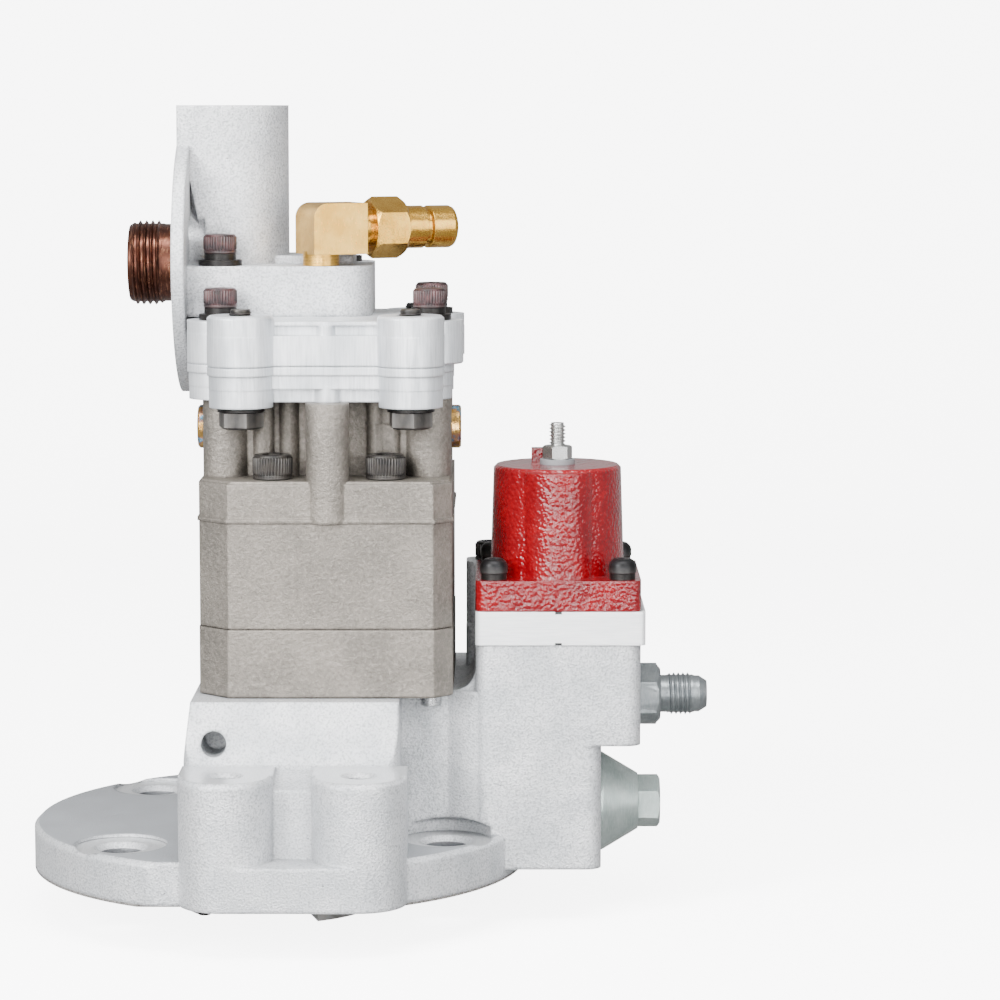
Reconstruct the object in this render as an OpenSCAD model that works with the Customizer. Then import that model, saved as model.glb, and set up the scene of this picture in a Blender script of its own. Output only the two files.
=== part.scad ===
// Gear type diesel fuel pump that stands on its round mounting flange.
// A cast aluminium housing carries a cast gear pump, a pulsation damper and a spin-on filter head,
// with a shut-off solenoid, an outlet fitting and a pressure regulator on its valve column.
// The origin is on the drive axis at the mounting face of the flange, +Z up, +X towards the column.

/* [Mounting flange] */
// Diameter of the round mounting flange
flange_d = 164; // [158:1:170]
// Thickness of the flange
flange_t = 14; // [12:0.5:16]
// Diameter of each of the four mounting holes
mount_hole_d = 14; // [11:0.5:15]
// Diameter of the machined spot face round each mounting hole
spot_face_d = 30; // [26:1:32]
// Distance of the mounting holes from the drive axis
mount_hole_r = 66.5; // [66:0.5:67.5]
// Thickness of the paper gasket under the flange
gasket_t = 0.8; // [0.5:0.1:1.5]
// Diameter of the opening in the gasket
gasket_hole_d = 116.6; // [100:0.2:116.6]

/* [Housing] */
// Height of the seat that the gear pump stands on
seat_h = 61; // [59:0.5:66]
// Distance from the drive axis to the foot of the housing block's front
block_front = 54; // [53:0.5:56]
// Distance from the drive axis to the left side of the housing block at its seat
block_left = 25.5; // [25:0.5:30]
// Height of the two tapped bosses at the front
boss_h = 41; // [36:0.5:44]
// Diameter of each front boss
boss_d = 30; // [26:0.5:32]
// Distance between the two front bosses
boss_pitch = 42.3; // [40:0.1:44]
// Diameter of the tapped hole in each front boss
boss_hole_d = 8.5; // [7:0.5:11]
// Diameter of the drilled fuel passage in the front of the block
passage_d = 8.2; // [6:0.1:9]

/* [Valve column] */
// Width and depth of the solenoid base and of the column under it
column_w = 54; // [52:0.5:58]
// Distance from the drive axis to the middle of the valve column
column_x = 93; // [91:0.5:96]
// Height of the top of the valve column
column_h = 76.8; // [75:0.1:82]
// Thickness of the spacer plate under the solenoid
spacer_t = 11; // [8:0.1:13]
// Diameter of the pressure regulator cap at its seat
regulator_d = 32.8; // [29:0.1:33]
// Travel of the regulator plunger
regulator_travel = 4; // [1:0.5:5]

/* [Solenoid] */
// Diameter of the solenoid can at its foot
can_d = 44.4; // [40:0.2:46]
// Height of the solenoid base plate
can_base_t = 10; // [8:0.5:12]
// Height of the solenoid can above its base plate
can_h = 35.6; // [30:0.2:40]
// Lift of the shut-off valve disc
valve_lift = 0.8; // [0.4:0.1:1.2]
// Diameter of the terminal stud
terminal_d = 4.2; // [4:0.1:5]

/* [Gear pump] */
// Width of the gear pump
pump_w = 82; // [81:0.5:86]
// Depth of the gear pump
pump_depth = 84; // [83:0.5:88]
// Thickness of the base section
pump_base_t = 22.6; // [20:0.1:26]
// Thickness of the gear section
gear_case_t = 34.3; // [28:0.1:38]
// Thickness of the lower step of the cover
cover_step_t = 13.4; // [12:0.1:16]
// Full thickness of the cover
cover_t = 38.5; // [36:0.5:42]
// Number of teeth on each pump gear
teeth = 12; // [12:1:12]
// Module of the gear teeth
tooth_module = 2.5; // [2.4:0.05:2.5]
// Play between the meshing flanks
tooth_play = 0.25; // [0.2:0.05:0.4]

/* [Drive] */
// Diameter of the drive shaft in its bearings
shaft_d = 17; // [15:0.5:18]
// Diameter of the shaft that carries the driven gear
driven_shaft_d = 14; // [12:0.5:15]
// Outer diameter of the jaw coupling
coupling_d = 66; // [60:1:70]
// Distance that the coupling jaws stand out below the flange
jaw_drop = 15.5; // [13:0.5:17]
// Width of each arm of the coupling spider
spider_arm_w = 10; // [9:0.2:12]
// Thickness of the coupling spider
spider_t = 8; // [7:0.5:9.5]

/* [Damper] */
// Thickness of the upper half of the pulsation damper
damper_upper_t = 14.5; // [13:0.5:17]
// Thickness of the lower half where it seats on the gear pump
damper_lower_t = 11.5; // [10:0.5:14]
// Diameter of the corner bosses of the damper
damper_boss_d = 21.8; // [20:0.1:22]

/* [Filter head] */
// Thickness of the foot of the filter head
foot_t = 16.5; // [15:0.5:19]
// Height of the tower above the foot
tower_h = 52.5; // [50:0.5:54]
// Diameter of the filter mounting disc
disc_d = 87; // [84:1:90]
// Thickness of the filter mounting disc
disc_t = 4.2; // [4:0.2:6]
// Outer diameter of the filter stud
stud_d = 28.8; // [26:0.2:30]
// Length of the filter stud that stands out of the disc
stud_reach = 17.5; // [15:0.5:20]

/* [Fittings] */
// Width of the square body of the brass elbow
elbow_w = 16.8; // [15:0.2:18]
// Turn of the elbow about its upright leg, in degrees
elbow_turn = 25; // [0:1:40]
// Width across flats of the brass nipple
nipple_af = 17.8; // [16:0.2:19]
// Width across flats of the outlet fitting
outlet_af = 18; // [16:0.5:19]
// Diameter of the thread of the outlet fitting
outlet_thread_d = 14.3; // [12:0.1:16]

/* [Hidden] */

$fn = 64;
eps = 0.01;
fit = 0.03;
seat_gap = 0.3;

cast_white = "gainsboro";
cast_grey = "darkgray";
steel = "silver";
black_steel = "dimgray";
zinc = "lightsteelblue";
brass = "goldenrod";
copper = "sienna";
red_paint = "firebrick";

// Levels of the stack above the mounting face
case_z = seat_h + pump_base_t;
cover_z = case_z + gear_case_t;
step_z = cover_z + cover_step_t;
damper_z = cover_z + cover_t;
parting_z = damper_z + damper_lower_t;
foot_z = parting_z + damper_upper_t;
foot_top = foot_z + foot_t;
tower_top = foot_top + tower_h;

// The two gears sit side by side, the drive gear on the drive axis
gear_pitch_r = teeth * tooth_module / 2;
gear_tip_r = gear_pitch_r + tooth_module;
gear_root_r = gear_pitch_r - 1.25 * tooth_module;
gear_distance = 2 * gear_pitch_r;
pressure_angle = 25;
gear_end_play = 0.1;
gear_case_play = 0.1;
pump_x = 17.5;
pump_corner = 10;
pump_right_corner = 6;
seam = 0.35;
pump_front = pump_depth / 2;
pump_screw_pitch_x = 36.6;
pump_screw_y = pump_front - 10.5;
pump_screw_d = 8;
pump_screw_grip = 16;
pump_screw_places = [for (x = [-1, 1], y = [-1, 1])
    [pump_x + 1.2 + x * pump_screw_pitch_x / 2, y * pump_screw_y]];
pump_dowel_d = 6;
pump_dowel_l = 10;
pump_dowel_places = [[pump_x - 34, 25], [pump_x + 34, -25]];
bush_wall = 2.5;
bush_l = 16;

// Valve column
column_y = -5;
column_half = column_w / 2;
column_left = column_x - column_half;
column_right = column_x + column_half;
column_front = column_y - column_half;
column_back = column_y + column_half;
column_bottom = 2.4;
column_shoulder = 43.4;
column_lower_right = column_right - 12.8;
column_corner = 5;
solenoid_screw_pitch = column_w - 12;
solenoid_screw_d = 5;
solenoid_screw_places = [for (x = [-1, 1], y = [-1, 1])
    [column_x + x * solenoid_screw_pitch / 2, column_y + y * solenoid_screw_pitch / 2]];
chamber_r = 17;
seal_ring_in = chamber_r + 2;
seal_ring_t = 0.9;
chamber_floor = column_h - 12;
seat_ring_t = 2;
valve_disc_r = 13;
valve_disc_t = 3;
valve_port_r = 5;
valve_disc_z = chamber_floor + seat_ring_t;
core_r = 8.5;
core_z = valve_disc_z + valve_disc_t + valve_lift;
can_z = column_h + spacer_t;
can_top = can_z + can_base_t + can_h;
terminal_root_r = terminal_d / 2 - 0.5;
nut_z = can_top + 1.7;
nut_h = 4.4;
outlet_z = column_h - 20.5;
outlet_port_r = 4;
regulator_z = column_bottom + 1.2 + regulator_d / 2;
plunger_r = 6.5;
plunger_l = 20;
plunger_x = column_lower_right - 10 - plunger_l - regulator_travel;
regulator_bore_r = 8.5;
regulator_thread_l = 9;
pillar_x = column_left + 4.5;
pillar_y = column_back + 8;
pillar_h = column_h + 20;
pillar_w = 16;
pillar_screw_d = 6;

// Front bosses and mounting holes
boss_mid_x = 8.3;
boss_y = -(flange_d / 2 + 2 - boss_d / 2);
boss_places = [for (s = [-1, 1]) [boss_mid_x + s * boss_pitch / 2, boss_y]];
boss_web_h = boss_h - 4.6;
boss_web_back = 14;
block_draft = 5;
flange_front = flange_d / 2 - 9;
boss_hole_depth = 28;
mount_hole_angles = [40, 134, 223, 328];
gasket_front = 2 - flange_front;
mount_hole_chamfer = 1.8;
spot_face_depth = 1.2;
passage_x = 7.7 - block_left;
passage_z = seat_h - 13.1;
passage_depth = 16;

flange_dowel_d = 4.6;
flange_dowel_drop = 2.5;
flange_dowel_place = [-19.3, -0.8 - flange_front];

// Shaft line inside the housing
recess_r = coupling_d / 2 + 4;
recess_depth = 8;
bearing_r = shaft_d / 2 + 9;
bearing_w = 10;
bearing_z = [22, seat_h - bearing_w];
seal_r = shaft_d / 2 + 6.5;
seal_t = 7;
seal_z = 12;
ball_d = 5;
ball_count = 9;
race_r = shaft_d / 2 + 4.5;
race_wall = 2.6;
hub_r = 17;
jaw_root_z = -4.5;
jaw_inner_r = 19;
jaw_angle = -43.8;
coupling_disc_top = 3;
coupling_hub_top = 9;
coupling_washer_t = 1.6;
shaft_top = cover_z + bush_l + 2;

// Damper
damper_x = 17;
damper_boss_mid = damper_x + 1;
damper_boss_x = 27.3;
damper_boss_y = pump_front - 7;
damper_screw_x = 34.1;
damper_screw_y = 18;
damper_boss_drop = 1.5;
damper_boss_rise = 2;
damper_boss_places = [for (x = [-1, 1], y = [-1, 1])
    [damper_boss_mid + x * damper_boss_x, y * damper_boss_y]];
damper_screw_places = [for (x = [-1, 1], y = [-1, 1])
    [damper_x + x * damper_screw_x, y * damper_screw_y]];
damper_lug_r = 11;
damper_bolt_d = 8;
damper_bolt_af = 13;
damper_bolt_washer_t = 1.4;
damper_screw_d = 6;
damper_lug_top = foot_z - 0.4;
diaphragm_r = 27;
diaphragm_t = 0.8;
damper_cavity_h = 6;

// Filter head
disc_x = -33;
disc_z = foot_top - 0.2;
foot_left = disc_x + disc_t - 1;
foot_right = 31.6;
foot_front = -10;
foot_back = 42;
tower_r = 18.5;
tower_x = -15.5;
tower_y = 23.6;
stud_hole_r = stud_d / 2 - 1.4;
head_screw_d = 6;
head_screw_places = [[-18.3, -2.5], [20, 31]];
washer_t = 1.9;
lock_washer_t = 2;
cap_head_d = 11;

// Elbow and nipple, measured along the branch from the upright leg
elbow_place = [15, -2.5];
elbow_lift = 3.8;
elbow_z = foot_top + elbow_lift + elbow_w / 2;
elbow_back = 5.7;
elbow_reach = 13.3;
elbow_leg_r = 6;
elbow_leg_depth = 9;
elbow_bore_r = 5;
nipple_neck = 3.5;
nipple_hex_l = 11.8;
nipple_tail_l = 18.6;
nipple_r = 7.1;

// Upright round bar from z0 to z1
module rod(place, z0, z1, r) {
    translate([place[0], place[1], z0]) cylinder(r = r, h = z1 - z0);
}

// Upright bar at each place of a list
module rods(places, z0, z1, r) {
    for (p = places) rod(p, z0, z1, r);
}

// Rectangle with round corners
module round_rect(x0, x1, y0, y1, r) {
    translate([x0 + r, y0]) square([x1 - x0 - 2 * r, y1 - y0]);
    translate([x0, y0 + r]) square([x1 - x0, y1 - y0 - 2 * r]);
    for (x = [x0 + r, x1 - r], y = [y0 + r, y1 - r]) translate([x, y]) circle(r = r);
}

// Block with round upright edges
module round_block(x0, x1, y0, y1, z0, z1, r) {
    translate([0, 0, z0]) linear_extrude(z1 - z0) round_rect(x0, x1, y0, y1, r);
}

// Turned ring from z0 to z1
module ring(place, z0, z1, r_in, r_out) {
    translate([place[0], place[1], z0]) difference() {
        cylinder(r = r_out, h = z1 - z0);
        translate([0, 0, -1]) cylinder(r = r_in, h = z1 - z0 + 2);
    }
}

// Round bar along X from x0 to x1
module bar_x(x0, x1, y, z, r) {
    translate([x0, y, z]) rotate([0, 90, 0]) cylinder(r = r, h = x1 - x0);
}

// Hexagonal bar along the local Z axis, by its width across flats
module hex_bar(af, h) {
    cylinder(d = af / cos(30), h = h, $fn = 6);
}

// Socket head screw whose head stands on z = 0
module socket_screw(d, head_d, head_h, length) {
    difference() {
        union() {
            cylinder(d = head_d, h = head_h - 0.5);
            translate([0, 0, head_h - 0.5]) cylinder(d1 = head_d, d2 = head_d - 1, h = 0.5);
            translate([0, 0, -length]) cylinder(d = d, h = length + eps);
        }
        translate([0, 0, head_h / 2]) hex_bar(0.8 * d, head_h);
    }
}

// Outline of the gear pump: a rectangle with cut corners
module pump_outline(grow = 0) {
    w = pump_w / 2 + grow;
    d = pump_depth / 2 + grow;
    c = pump_corner;
    r = pump_right_corner;
    translate([pump_x, 0]) polygon([
        [-w + c, -d], [w - r, -d], [w, -d + r], [w, d - r],
        [w - r, d], [-w + c, d], [-w, d - c], [-w, -d + c]
    ]);
}

module mount_hole_places() {
    for (a = mount_hole_angles) rotate(a) translate([mount_hole_r, 0, 0]) children();
}

// Round flange, cut straight at the front
module flange_blank() {
    edge = 1.5;
    difference() {
        rotate_extrude($fn = 128) polygon([
            [0, 0], [flange_d / 2, 0], [flange_d / 2, flange_t - edge],
            [flange_d / 2 - edge, flange_t], [0, flange_t]
        ]);
        translate([-flange_d / 2, -flange_d - flange_front, -1]) cube([flange_d, flange_d, flange_t + 2]);
    }
}

// Housing block: its front and left sides slope out towards the flange
module housing_block() {
    left_draft = 2.2;
    back = pump_front + 2;
    left = -block_left - left_draft;
    foot = boss_h + 0.6;
    difference() {
        round_block(left, pump_x + 24, -block_front, back, 0, seat_h, 4);
        translate([0, back + 5, 0]) rotate([90, 0, 0]) linear_extrude(block_front + back + 10) polygon([
            [left, foot], [-block_left, seat_h], [-block_left, seat_h + 5], [left - 5, seat_h + 5],
            [left - 5, foot]
        ]);
        translate([left - 5, 0, 0]) rotate([90, 0, 90]) linear_extrude(pump_x + 34 - left) polygon([
            [-block_front, foot], [-block_front + block_draft, seat_h],
            [-block_front + block_draft, seat_h + 5], [-block_front - 5, seat_h + 5], [-block_front - 5, foot]
        ]);
    }
}

// The front bosses stand on a straight slab and have a lower web between them
module front_bosses() {
    edge = 1.2;
    for (p = boss_places) {
        rod(p, 0, boss_h - edge, boss_d / 2);
        translate([p[0], p[1], boss_h - edge])
            cylinder(r1 = boss_d / 2, r2 = boss_d / 2 - edge, h = edge);
        translate([p[0] - boss_d / 2, p[1], 0]) cube([boss_d, -p[1] - block_front + 1, boss_h]);
    }
    front = boss_y - boss_d / 2;
    web_front = front + boss_web_back;
    translate([boss_places[0][0], front, 0]) cube([boss_pitch, boss_d, flange_t + 0.4]);
    translate([boss_places[0][0], 0, 0]) rotate([90, 0, 90]) linear_extrude(boss_pitch) polygon([
        [web_front, 0], [web_front, boss_web_h], [-block_front + 1, boss_h - 0.6], [-block_front + 1, 0]
    ]);
}

// Lower and upper part of the valve column, joined to the block by the bridge
module valve_column() {
    round_block(column_left, column_lower_right, column_front, column_back,
        column_bottom, column_shoulder + 1, column_corner);
    round_block(column_left, column_right, column_front, column_back,
        column_shoulder, column_h, column_corner);
    translate([0, 0, flange_t - 1]) linear_extrude(seat_h - flange_t + 1) polygon([
        [pump_x + 20, column_front + 7], [column_left - 9, column_front + 7], [column_left + 4, column_front + 0.6],
        [column_left + 8, column_front + 0.6], [column_left + 8, column_back + pump_front - 12],
        [pump_x + 20, column_back + pump_front - 12]
    ]);
    round_block(pillar_x - pillar_w / 2, pillar_x + pillar_w, column_back - 8,
        pillar_y + pillar_w / 2, flange_t - 1, column_h - 1, 4);
    round_block(pillar_x - pillar_w / 2, pillar_x + pillar_w / 2, column_back + 1,
        pillar_y + pillar_w / 2, column_h - 2, pillar_h, 4);
    column_root_fillet();
}

// Hollow fillet between the gear pump seat and the left side of the column
module column_root_fillet() {
    r = column_left - (pump_x + pump_w / 2) - 0.4;
    translate([column_left, 0, seat_h]) rotate([90, 0, 0]) translate([0, 0, -column_back])
        linear_extrude(column_w - 6) difference() {
            translate([-r, -1]) square([r + 1, r + 1]);
            translate([-r, r]) circle(r = r);
        }
}

// Spot face with the hollow that its tool leaves in the wall behind it
module spot_face_cutter() {
    r = spot_face_d / 2;
    hole_r = mount_hole_d / 2;
    z = flange_t - spot_face_depth;
    rotate_extrude() polygon([
        [0, z - mount_hole_chamfer - 0.5], [hole_r - 0.5, z - mount_hole_chamfer - 0.5],
        [hole_r + mount_hole_chamfer, z],
        [r, z], [r, z + 4], [r * 0.62, z + 6], [r * 0.4, z + 9], [r * 0.3, z + 14], [r * 0.26, z + 24],
        [0, z + 24]
    ]);
}

module housing_bores() {
    rod([0, 0], -1, recess_depth, recess_r);
    rod([0, 0], 0, seal_z, hub_r + 2);
    rod([0, 0], 0, seal_z + seal_t, seal_r);
    rod([0, 0], 0, seat_h, shaft_d / 2 + 2);
    rod([0, 0], bearing_z[0], seat_h + 1, bearing_r);
    mount_hole_places() {
        translate([0, 0, -1]) cylinder(d = mount_hole_d, h = flange_t + 2);
        spot_face_cutter();
    }
    for (p = boss_places) {
        rod(p, boss_h - boss_hole_depth, boss_h + 1, boss_hole_d / 2);
        translate([p[0], p[1], boss_h - 1.4])
            cylinder(d1 = boss_hole_d, d2 = boss_hole_d + 3.2, h = 1.4 + eps);
    }
    rods(pump_screw_places, seat_h - pump_screw_grip - 2, seat_h + 1, pump_screw_d / 2);
    rods(pump_dowel_places, seat_h - pump_dowel_l / 2, seat_h + 1, pump_dowel_d / 2);
    translate([passage_x, -block_front - 1, passage_z]) rotate([-90, 0, 0])
        cylinder(d = passage_d, h = passage_depth + 1);
    rod([column_x, column_y], chamber_floor, column_h + 1, chamber_r);
    rod([column_x, column_y], outlet_z - outlet_port_r, chamber_floor + 1, valve_port_r);
    bar_x(column_x, column_right + 1, column_y, outlet_z, outlet_port_r);
    bar_x(column_right - 9, column_right + 1, column_y, outlet_z, outlet_thread_d / 2);
    rods(solenoid_screw_places, column_h - 16, column_h + 1, solenoid_screw_d / 2);
    bar_x(plunger_x - 6, column_lower_right, column_y, regulator_z, plunger_r + fit);
    bar_x(column_lower_right - regulator_thread_l - 1, column_lower_right + 1, column_y,
        regulator_z, regulator_bore_r);
    rod([pillar_x, pillar_y], pillar_h - 16, pillar_h + 1, pillar_screw_d / 2);
    translate([flange_dowel_place[0], flange_dowel_place[1], -1]) cylinder(d = flange_dowel_d, h = 9.5);
}

// Cast aluminium: flange, block, front bosses and valve column in one casting
module main_housing() {
    color(cast_white) difference() {
        union() {
            flange_blank();
            front_bosses();
            housing_block();
            valve_column();
        }
        housing_bores();
    }
}

// Paper gasket with the outline of the flange, a tab and five holes
module mounting_gasket() {
    tab_w = 14;
    tab_reach = 9;
    color("dimgray") translate([0, 0, -gasket_t]) linear_extrude(gasket_t) difference() {
        union() {
            circle(d = flange_d, $fn = 128);
            rotate(102) translate([0, -tab_w / 2]) square([flange_d / 2 + tab_reach, tab_w]);
        }
        circle(d = gasket_hole_d, $fn = 128);
        for (a = mount_hole_angles) rotate(a) translate([mount_hole_r, 0]) circle(d = mount_hole_d);
        rotate(81) translate([mount_hole_r, 0]) circle(d = mount_hole_d - 3);
        translate([-flange_d, -flange_d + gasket_front]) square([2 * flange_d, flange_d]);
    }
}

// Black steel dowel that locates the flange on the engine
module flange_dowel() {
    color(black_steel) translate([flange_dowel_place[0], flange_dowel_place[1], -flange_dowel_drop]) {
        cylinder(d1 = flange_dowel_d - 1, d2 = flange_dowel_d, h = 0.5);
        translate([0, 0, 0.5]) cylinder(d = flange_dowel_d, h = flange_dowel_drop + 7.5);
    }
}

// Lip seal: a steel case with a rubber lip that just clears the shaft
module shaft_seal() {
    color(black_steel) translate([0, 0, seal_z]) rotate_extrude() polygon([
        [seal_r, 0], [seal_r, seal_t], [seal_r - 1.5, seal_t], [seal_r - 1.5, 1.5],
        [shaft_d / 2 + 2, 1.5], [shaft_d / 2 + fit, seal_t - 2], [shaft_d / 2 + fit, seal_t - 3],
        [shaft_d / 2 + 1, 0]
    ]);
}

// Ball race with a groove for the balls, as one ring of a bearing
module race(z, r_in, r_out) {
    translate([0, 0, z]) difference() {
        ring([0, 0], 0, bearing_w, r_in, r_out);
        rotate_extrude() translate([race_r, bearing_w / 2]) circle(d = ball_d + 0.1);
    }
}

module bearing_outer_races() {
    color(steel) for (z = bearing_z) race(z, bearing_r - race_wall, bearing_r);
}

module bearing_inner_races() {
    color(steel) for (z = bearing_z) race(z, shaft_d / 2, shaft_d / 2 + race_wall);
}

module bearing_balls() {
    color("gainsboro") for (z = bearing_z, i = [0 : ball_count - 1])
        rotate(i * 360 / ball_count) translate([race_r, 0, z + bearing_w / 2]) sphere(d = ball_d - 0.1);
}

// Sleeve that keeps the two outer races apart
module bearing_spacer() {
    color(steel) ring([0, 0], bearing_z[0] + bearing_w, bearing_z[1], bearing_r - 2, bearing_r - 0.1);
}

// Base section of the gear pump, with a bush for each shaft
module gear_pump_base() {
    color(cast_grey) difference() {
        union() {
            translate([0, 0, seat_h]) linear_extrude(pump_base_t) pump_outline(-seam);
            translate([0, 0, seat_h + seam]) linear_extrude(pump_base_t - 2 * seam) pump_outline(0.2);
        }
        rod([0, 0], seat_h - 1, case_z + 1, shaft_d / 2 + bush_wall);
        rod([0, 0], seat_h - 1, seat_h + 1, race_r + 0.6);
        rod([gear_distance, 0], case_z - bush_l - 1, case_z + 1, driven_shaft_d / 2 + bush_wall);
        rods(pump_screw_places, seat_h - 1, case_z + 1, pump_screw_d / 2 + 0.4);
        rods(pump_dowel_places, seat_h - 1, seat_h + pump_dowel_l / 2, pump_dowel_d / 2);
        rods(pump_dowel_places, case_z - pump_dowel_l / 2, case_z + 1, pump_dowel_d / 2);
    }
}

// Gear section: two meshing bores joined by the suction and pressure pockets
module gear_pump_body() {
    bore_r = gear_tip_r + gear_case_play;
    color(cast_grey) difference() {
        translate([0, 0, case_z]) linear_extrude(gear_case_t) pump_outline();
        for (x = [0, gear_distance]) rod([x, 0], case_z - 1, cover_z + 1, bore_r);
        translate([gear_distance / 2 - 5, -bore_r + 3, case_z - 1])
            cube([10, 2 * bore_r - 6, gear_case_t + 2]);
        rods(pump_screw_places, case_z - 1, cover_z + 1, pump_screw_d / 2 + 0.4);
        rods(pump_dowel_places, case_z - 1, case_z + pump_dowel_l / 2, pump_dowel_d / 2);
    }
}

// Cover: a full step with the screw heads on it, and a narrower top with upright round columns
module gear_pump_cover() {
    top_front = pump_front - 20;
    column_r = 7;
    color(cast_grey) difference() {
        union() {
            translate([0, 0, cover_z]) linear_extrude(cover_step_t - 0.8) pump_outline();
            translate([0, 0, cover_z]) linear_extrude(cover_step_t) pump_outline(-0.8);
            translate([0, 0, cover_z]) linear_extrude(1.3) pump_outline(0.5);
            round_block(pump_x - pump_w / 2 + 0.5, pump_x + pump_w / 2 - 0.5, -top_front, top_front,
                cover_z + 1, damper_z, 8);
            for (y = [-1, 1]) {
                rod([pump_x + 1, y * (pump_front - 4.4)], cover_z + eps, damper_z, column_r);
                translate([pump_x + 1 - 3.5, y > 0 ? top_front - 1 : 5 - pump_front, cover_z + 1])
                    cube([7, pump_front - top_front - 4, damper_z - cover_z - 1]);
                for (x = [-1, 1]) {
                    rod([pump_x + 2 + x * 14.2, y * (top_front - 0.5)], step_z - 1, damper_z, 3.2);
                    rod([pump_x + x * pump_w / 4, y * (top_front - 1)], step_z - 1, damper_z, 3.6);
                    rod([pump_x + x * (pump_w / 2 - 8), y * (top_front - 2.6)], step_z - 1, damper_z, 7.5);
                }
            }
        }
        rod([0, 0], cover_z - 1, cover_z + bush_l + 4, shaft_d / 2 + bush_wall);
        rod([gear_distance, 0], cover_z - 1, cover_z + bush_l + 4, driven_shaft_d / 2 + bush_wall);
        rods(pump_screw_places, cover_z - 1, step_z + 1, pump_screw_d / 2 + 0.4);
        rods(pump_screw_places, step_z, damper_z - 8, 7.6);
        rods(damper_boss_places, damper_z - damper_boss_drop - 0.4, damper_z + 1, damper_boss_d / 2 + 0.4);
        rods(damper_screw_places, damper_z - 16, damper_z + 1, damper_screw_d / 2);
        for (s = [-1, 1]) bar_x(s > 0 ? pump_x + pump_w / 2 - 8 : pump_x - pump_w / 2 - 1,
            s > 0 ? pump_x + pump_w / 2 + 1 : pump_x - pump_w / 2 + 8, 0, plug_z, plug_thread_r);
    }
}

plug_z = damper_z - 11;
plug_thread_r = 5.5;
plug_head_r = 7.2;
plug_head_t = 3.1;

// Plugs in the two side ports of the cover
module side_port_plugs() {
    color(brass) for (s = [-1, 1]) translate([pump_x, 0, plug_z]) rotate([0, s * 90, 0])
        translate([0, 0, pump_w / 2 - 0.5]) {
            cylinder(r = plug_head_r, h = plug_head_t - 0.6);
            translate([0, 0, plug_head_t - 0.6]) cylinder(r1 = plug_head_r, r2 = plug_head_r - 0.6, h = 0.6);
            translate([0, 0, -6]) cylinder(r = plug_thread_r, h = 6 + eps);
        }
}

// Bronze bushes, two for each shaft
module gear_pump_bushings() {
    color("peru") for (z = [case_z - bush_l, cover_z]) {
        ring([0, 0], z, z + bush_l, shaft_d / 2 + fit, shaft_d / 2 + bush_wall);
        ring([gear_distance, 0], z, z + bush_l, driven_shaft_d / 2 + fit, driven_shaft_d / 2 + bush_wall);
    }
}

module gear_pump_dowels() {
    color(steel) for (p = pump_dowel_places, z = [seat_h, case_z])
        rod(p, z - pump_dowel_l / 2, z + pump_dowel_l / 2, pump_dowel_d / 2);
}

// Long socket head screws through the whole gear pump into the housing
module gear_pump_screws() {
    color(black_steel) for (p = pump_screw_places) translate([p[0], p[1], step_z])
        socket_screw(pump_screw_d, 13, 8, step_z - seat_h + pump_screw_grip);
}

// Involute of the base circle: the angle between the pressure angle's ray and the tangent point
function involute(a) = tan(a) * 180 / PI - a;

// Angle from the middle of a tooth to its flank at radius r
function flank_angle(r, base_r) = 90 / teeth - asin(tooth_play / 4 / gear_pitch_r)
    + involute(pressure_angle) - (r > base_r ? involute(acos(base_r / r)) : 0);

// Spur gear with involute flanks, one tooth pointing along its X axis
module spur_gear(width, bore_r) {
    base_r = gear_pitch_r * cos(pressure_angle);
    steps = 4;
    radii = [for (i = [0 : steps]) base_r + (gear_tip_r - base_r) * i / steps];
    flank = concat([gear_root_r], radii);
    linear_extrude(width) difference() {
        polygon([for (t = [0 : teeth - 1], s = [-1, 1], i = [0 : steps + 1])
            let (r = s < 0 ? flank[i] : flank[steps + 1 - i], a = t * 360 / teeth + s * flank_angle(r, base_r))
            [r * cos(a), r * sin(a)]]);
        circle(r = bore_r);
    }
}

// Hardened steel shaft from the coupling up through the drive gear
module drive_shaft() {
    color(steel) difference() {
        union() {
            rod([0, 0], jaw_root_z, shaft_top - 1, shaft_d / 2);
            translate([0, 0, shaft_top - 1]) cylinder(d1 = shaft_d, d2 = shaft_d - 2, h = 1);
        }
        rod([0, 0], jaw_root_z - 1, 14, 3);
        translate([shaft_d / 2 - key_w / 2, -key_w / 2, case_z + 5]) cube([key_w, key_w, key_l]);
    }
}

key_w = 4;
key_l = 20;

module drive_gear_key() {
    color(steel) translate([shaft_d / 2 - key_w / 2, -key_w / 2, case_z + 5]) cube([key_w, key_w, key_l]);
}

module drive_gear() {
    color(steel) difference() {
        translate([0, 0, case_z + gear_end_play]) rotate(180 / teeth)
            spur_gear(gear_case_t - 2 * gear_end_play, shaft_d / 2);
        translate([shaft_d / 2 - key_w, -key_w / 2, case_z - 1]) cube([key_w * 1.5, key_w, gear_case_t + 2]);
    }
}

module driven_shaft() {
    color(steel) rod([gear_distance, 0], case_z - bush_l + 0.5, cover_z + bush_l - 0.5, driven_shaft_d / 2);
}

module driven_gear() {
    color(steel) translate([gear_distance, 0, case_z + gear_end_play])
        spur_gear(gear_case_t - 2 * gear_end_play, driven_shaft_d / 2);
}

// Plan of the three jaws: ring sectors with room for a spider arm on both sides
module jaw_plan() {
    arm_gap = 0.25;
    reach = coupling_d;
    difference() {
        for (k = [0 : 2]) rotate(jaw_angle + k * 120) intersection() {
            difference() {
                circle(r = coupling_d / 2 - 0.3);
                circle(r = jaw_inner_r);
            }
            polygon([[0, 0], [reach * cos(30), -reach * sin(30)], [reach * cos(30), reach * sin(30)]]);
        }
        for (k = [0 : 5]) rotate(jaw_angle + 30 + k * 60)
            translate([0, -spider_arm_w / 2 - arm_gap]) square([coupling_d, spider_arm_w + 2 * arm_gap]);
    }
}

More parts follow.
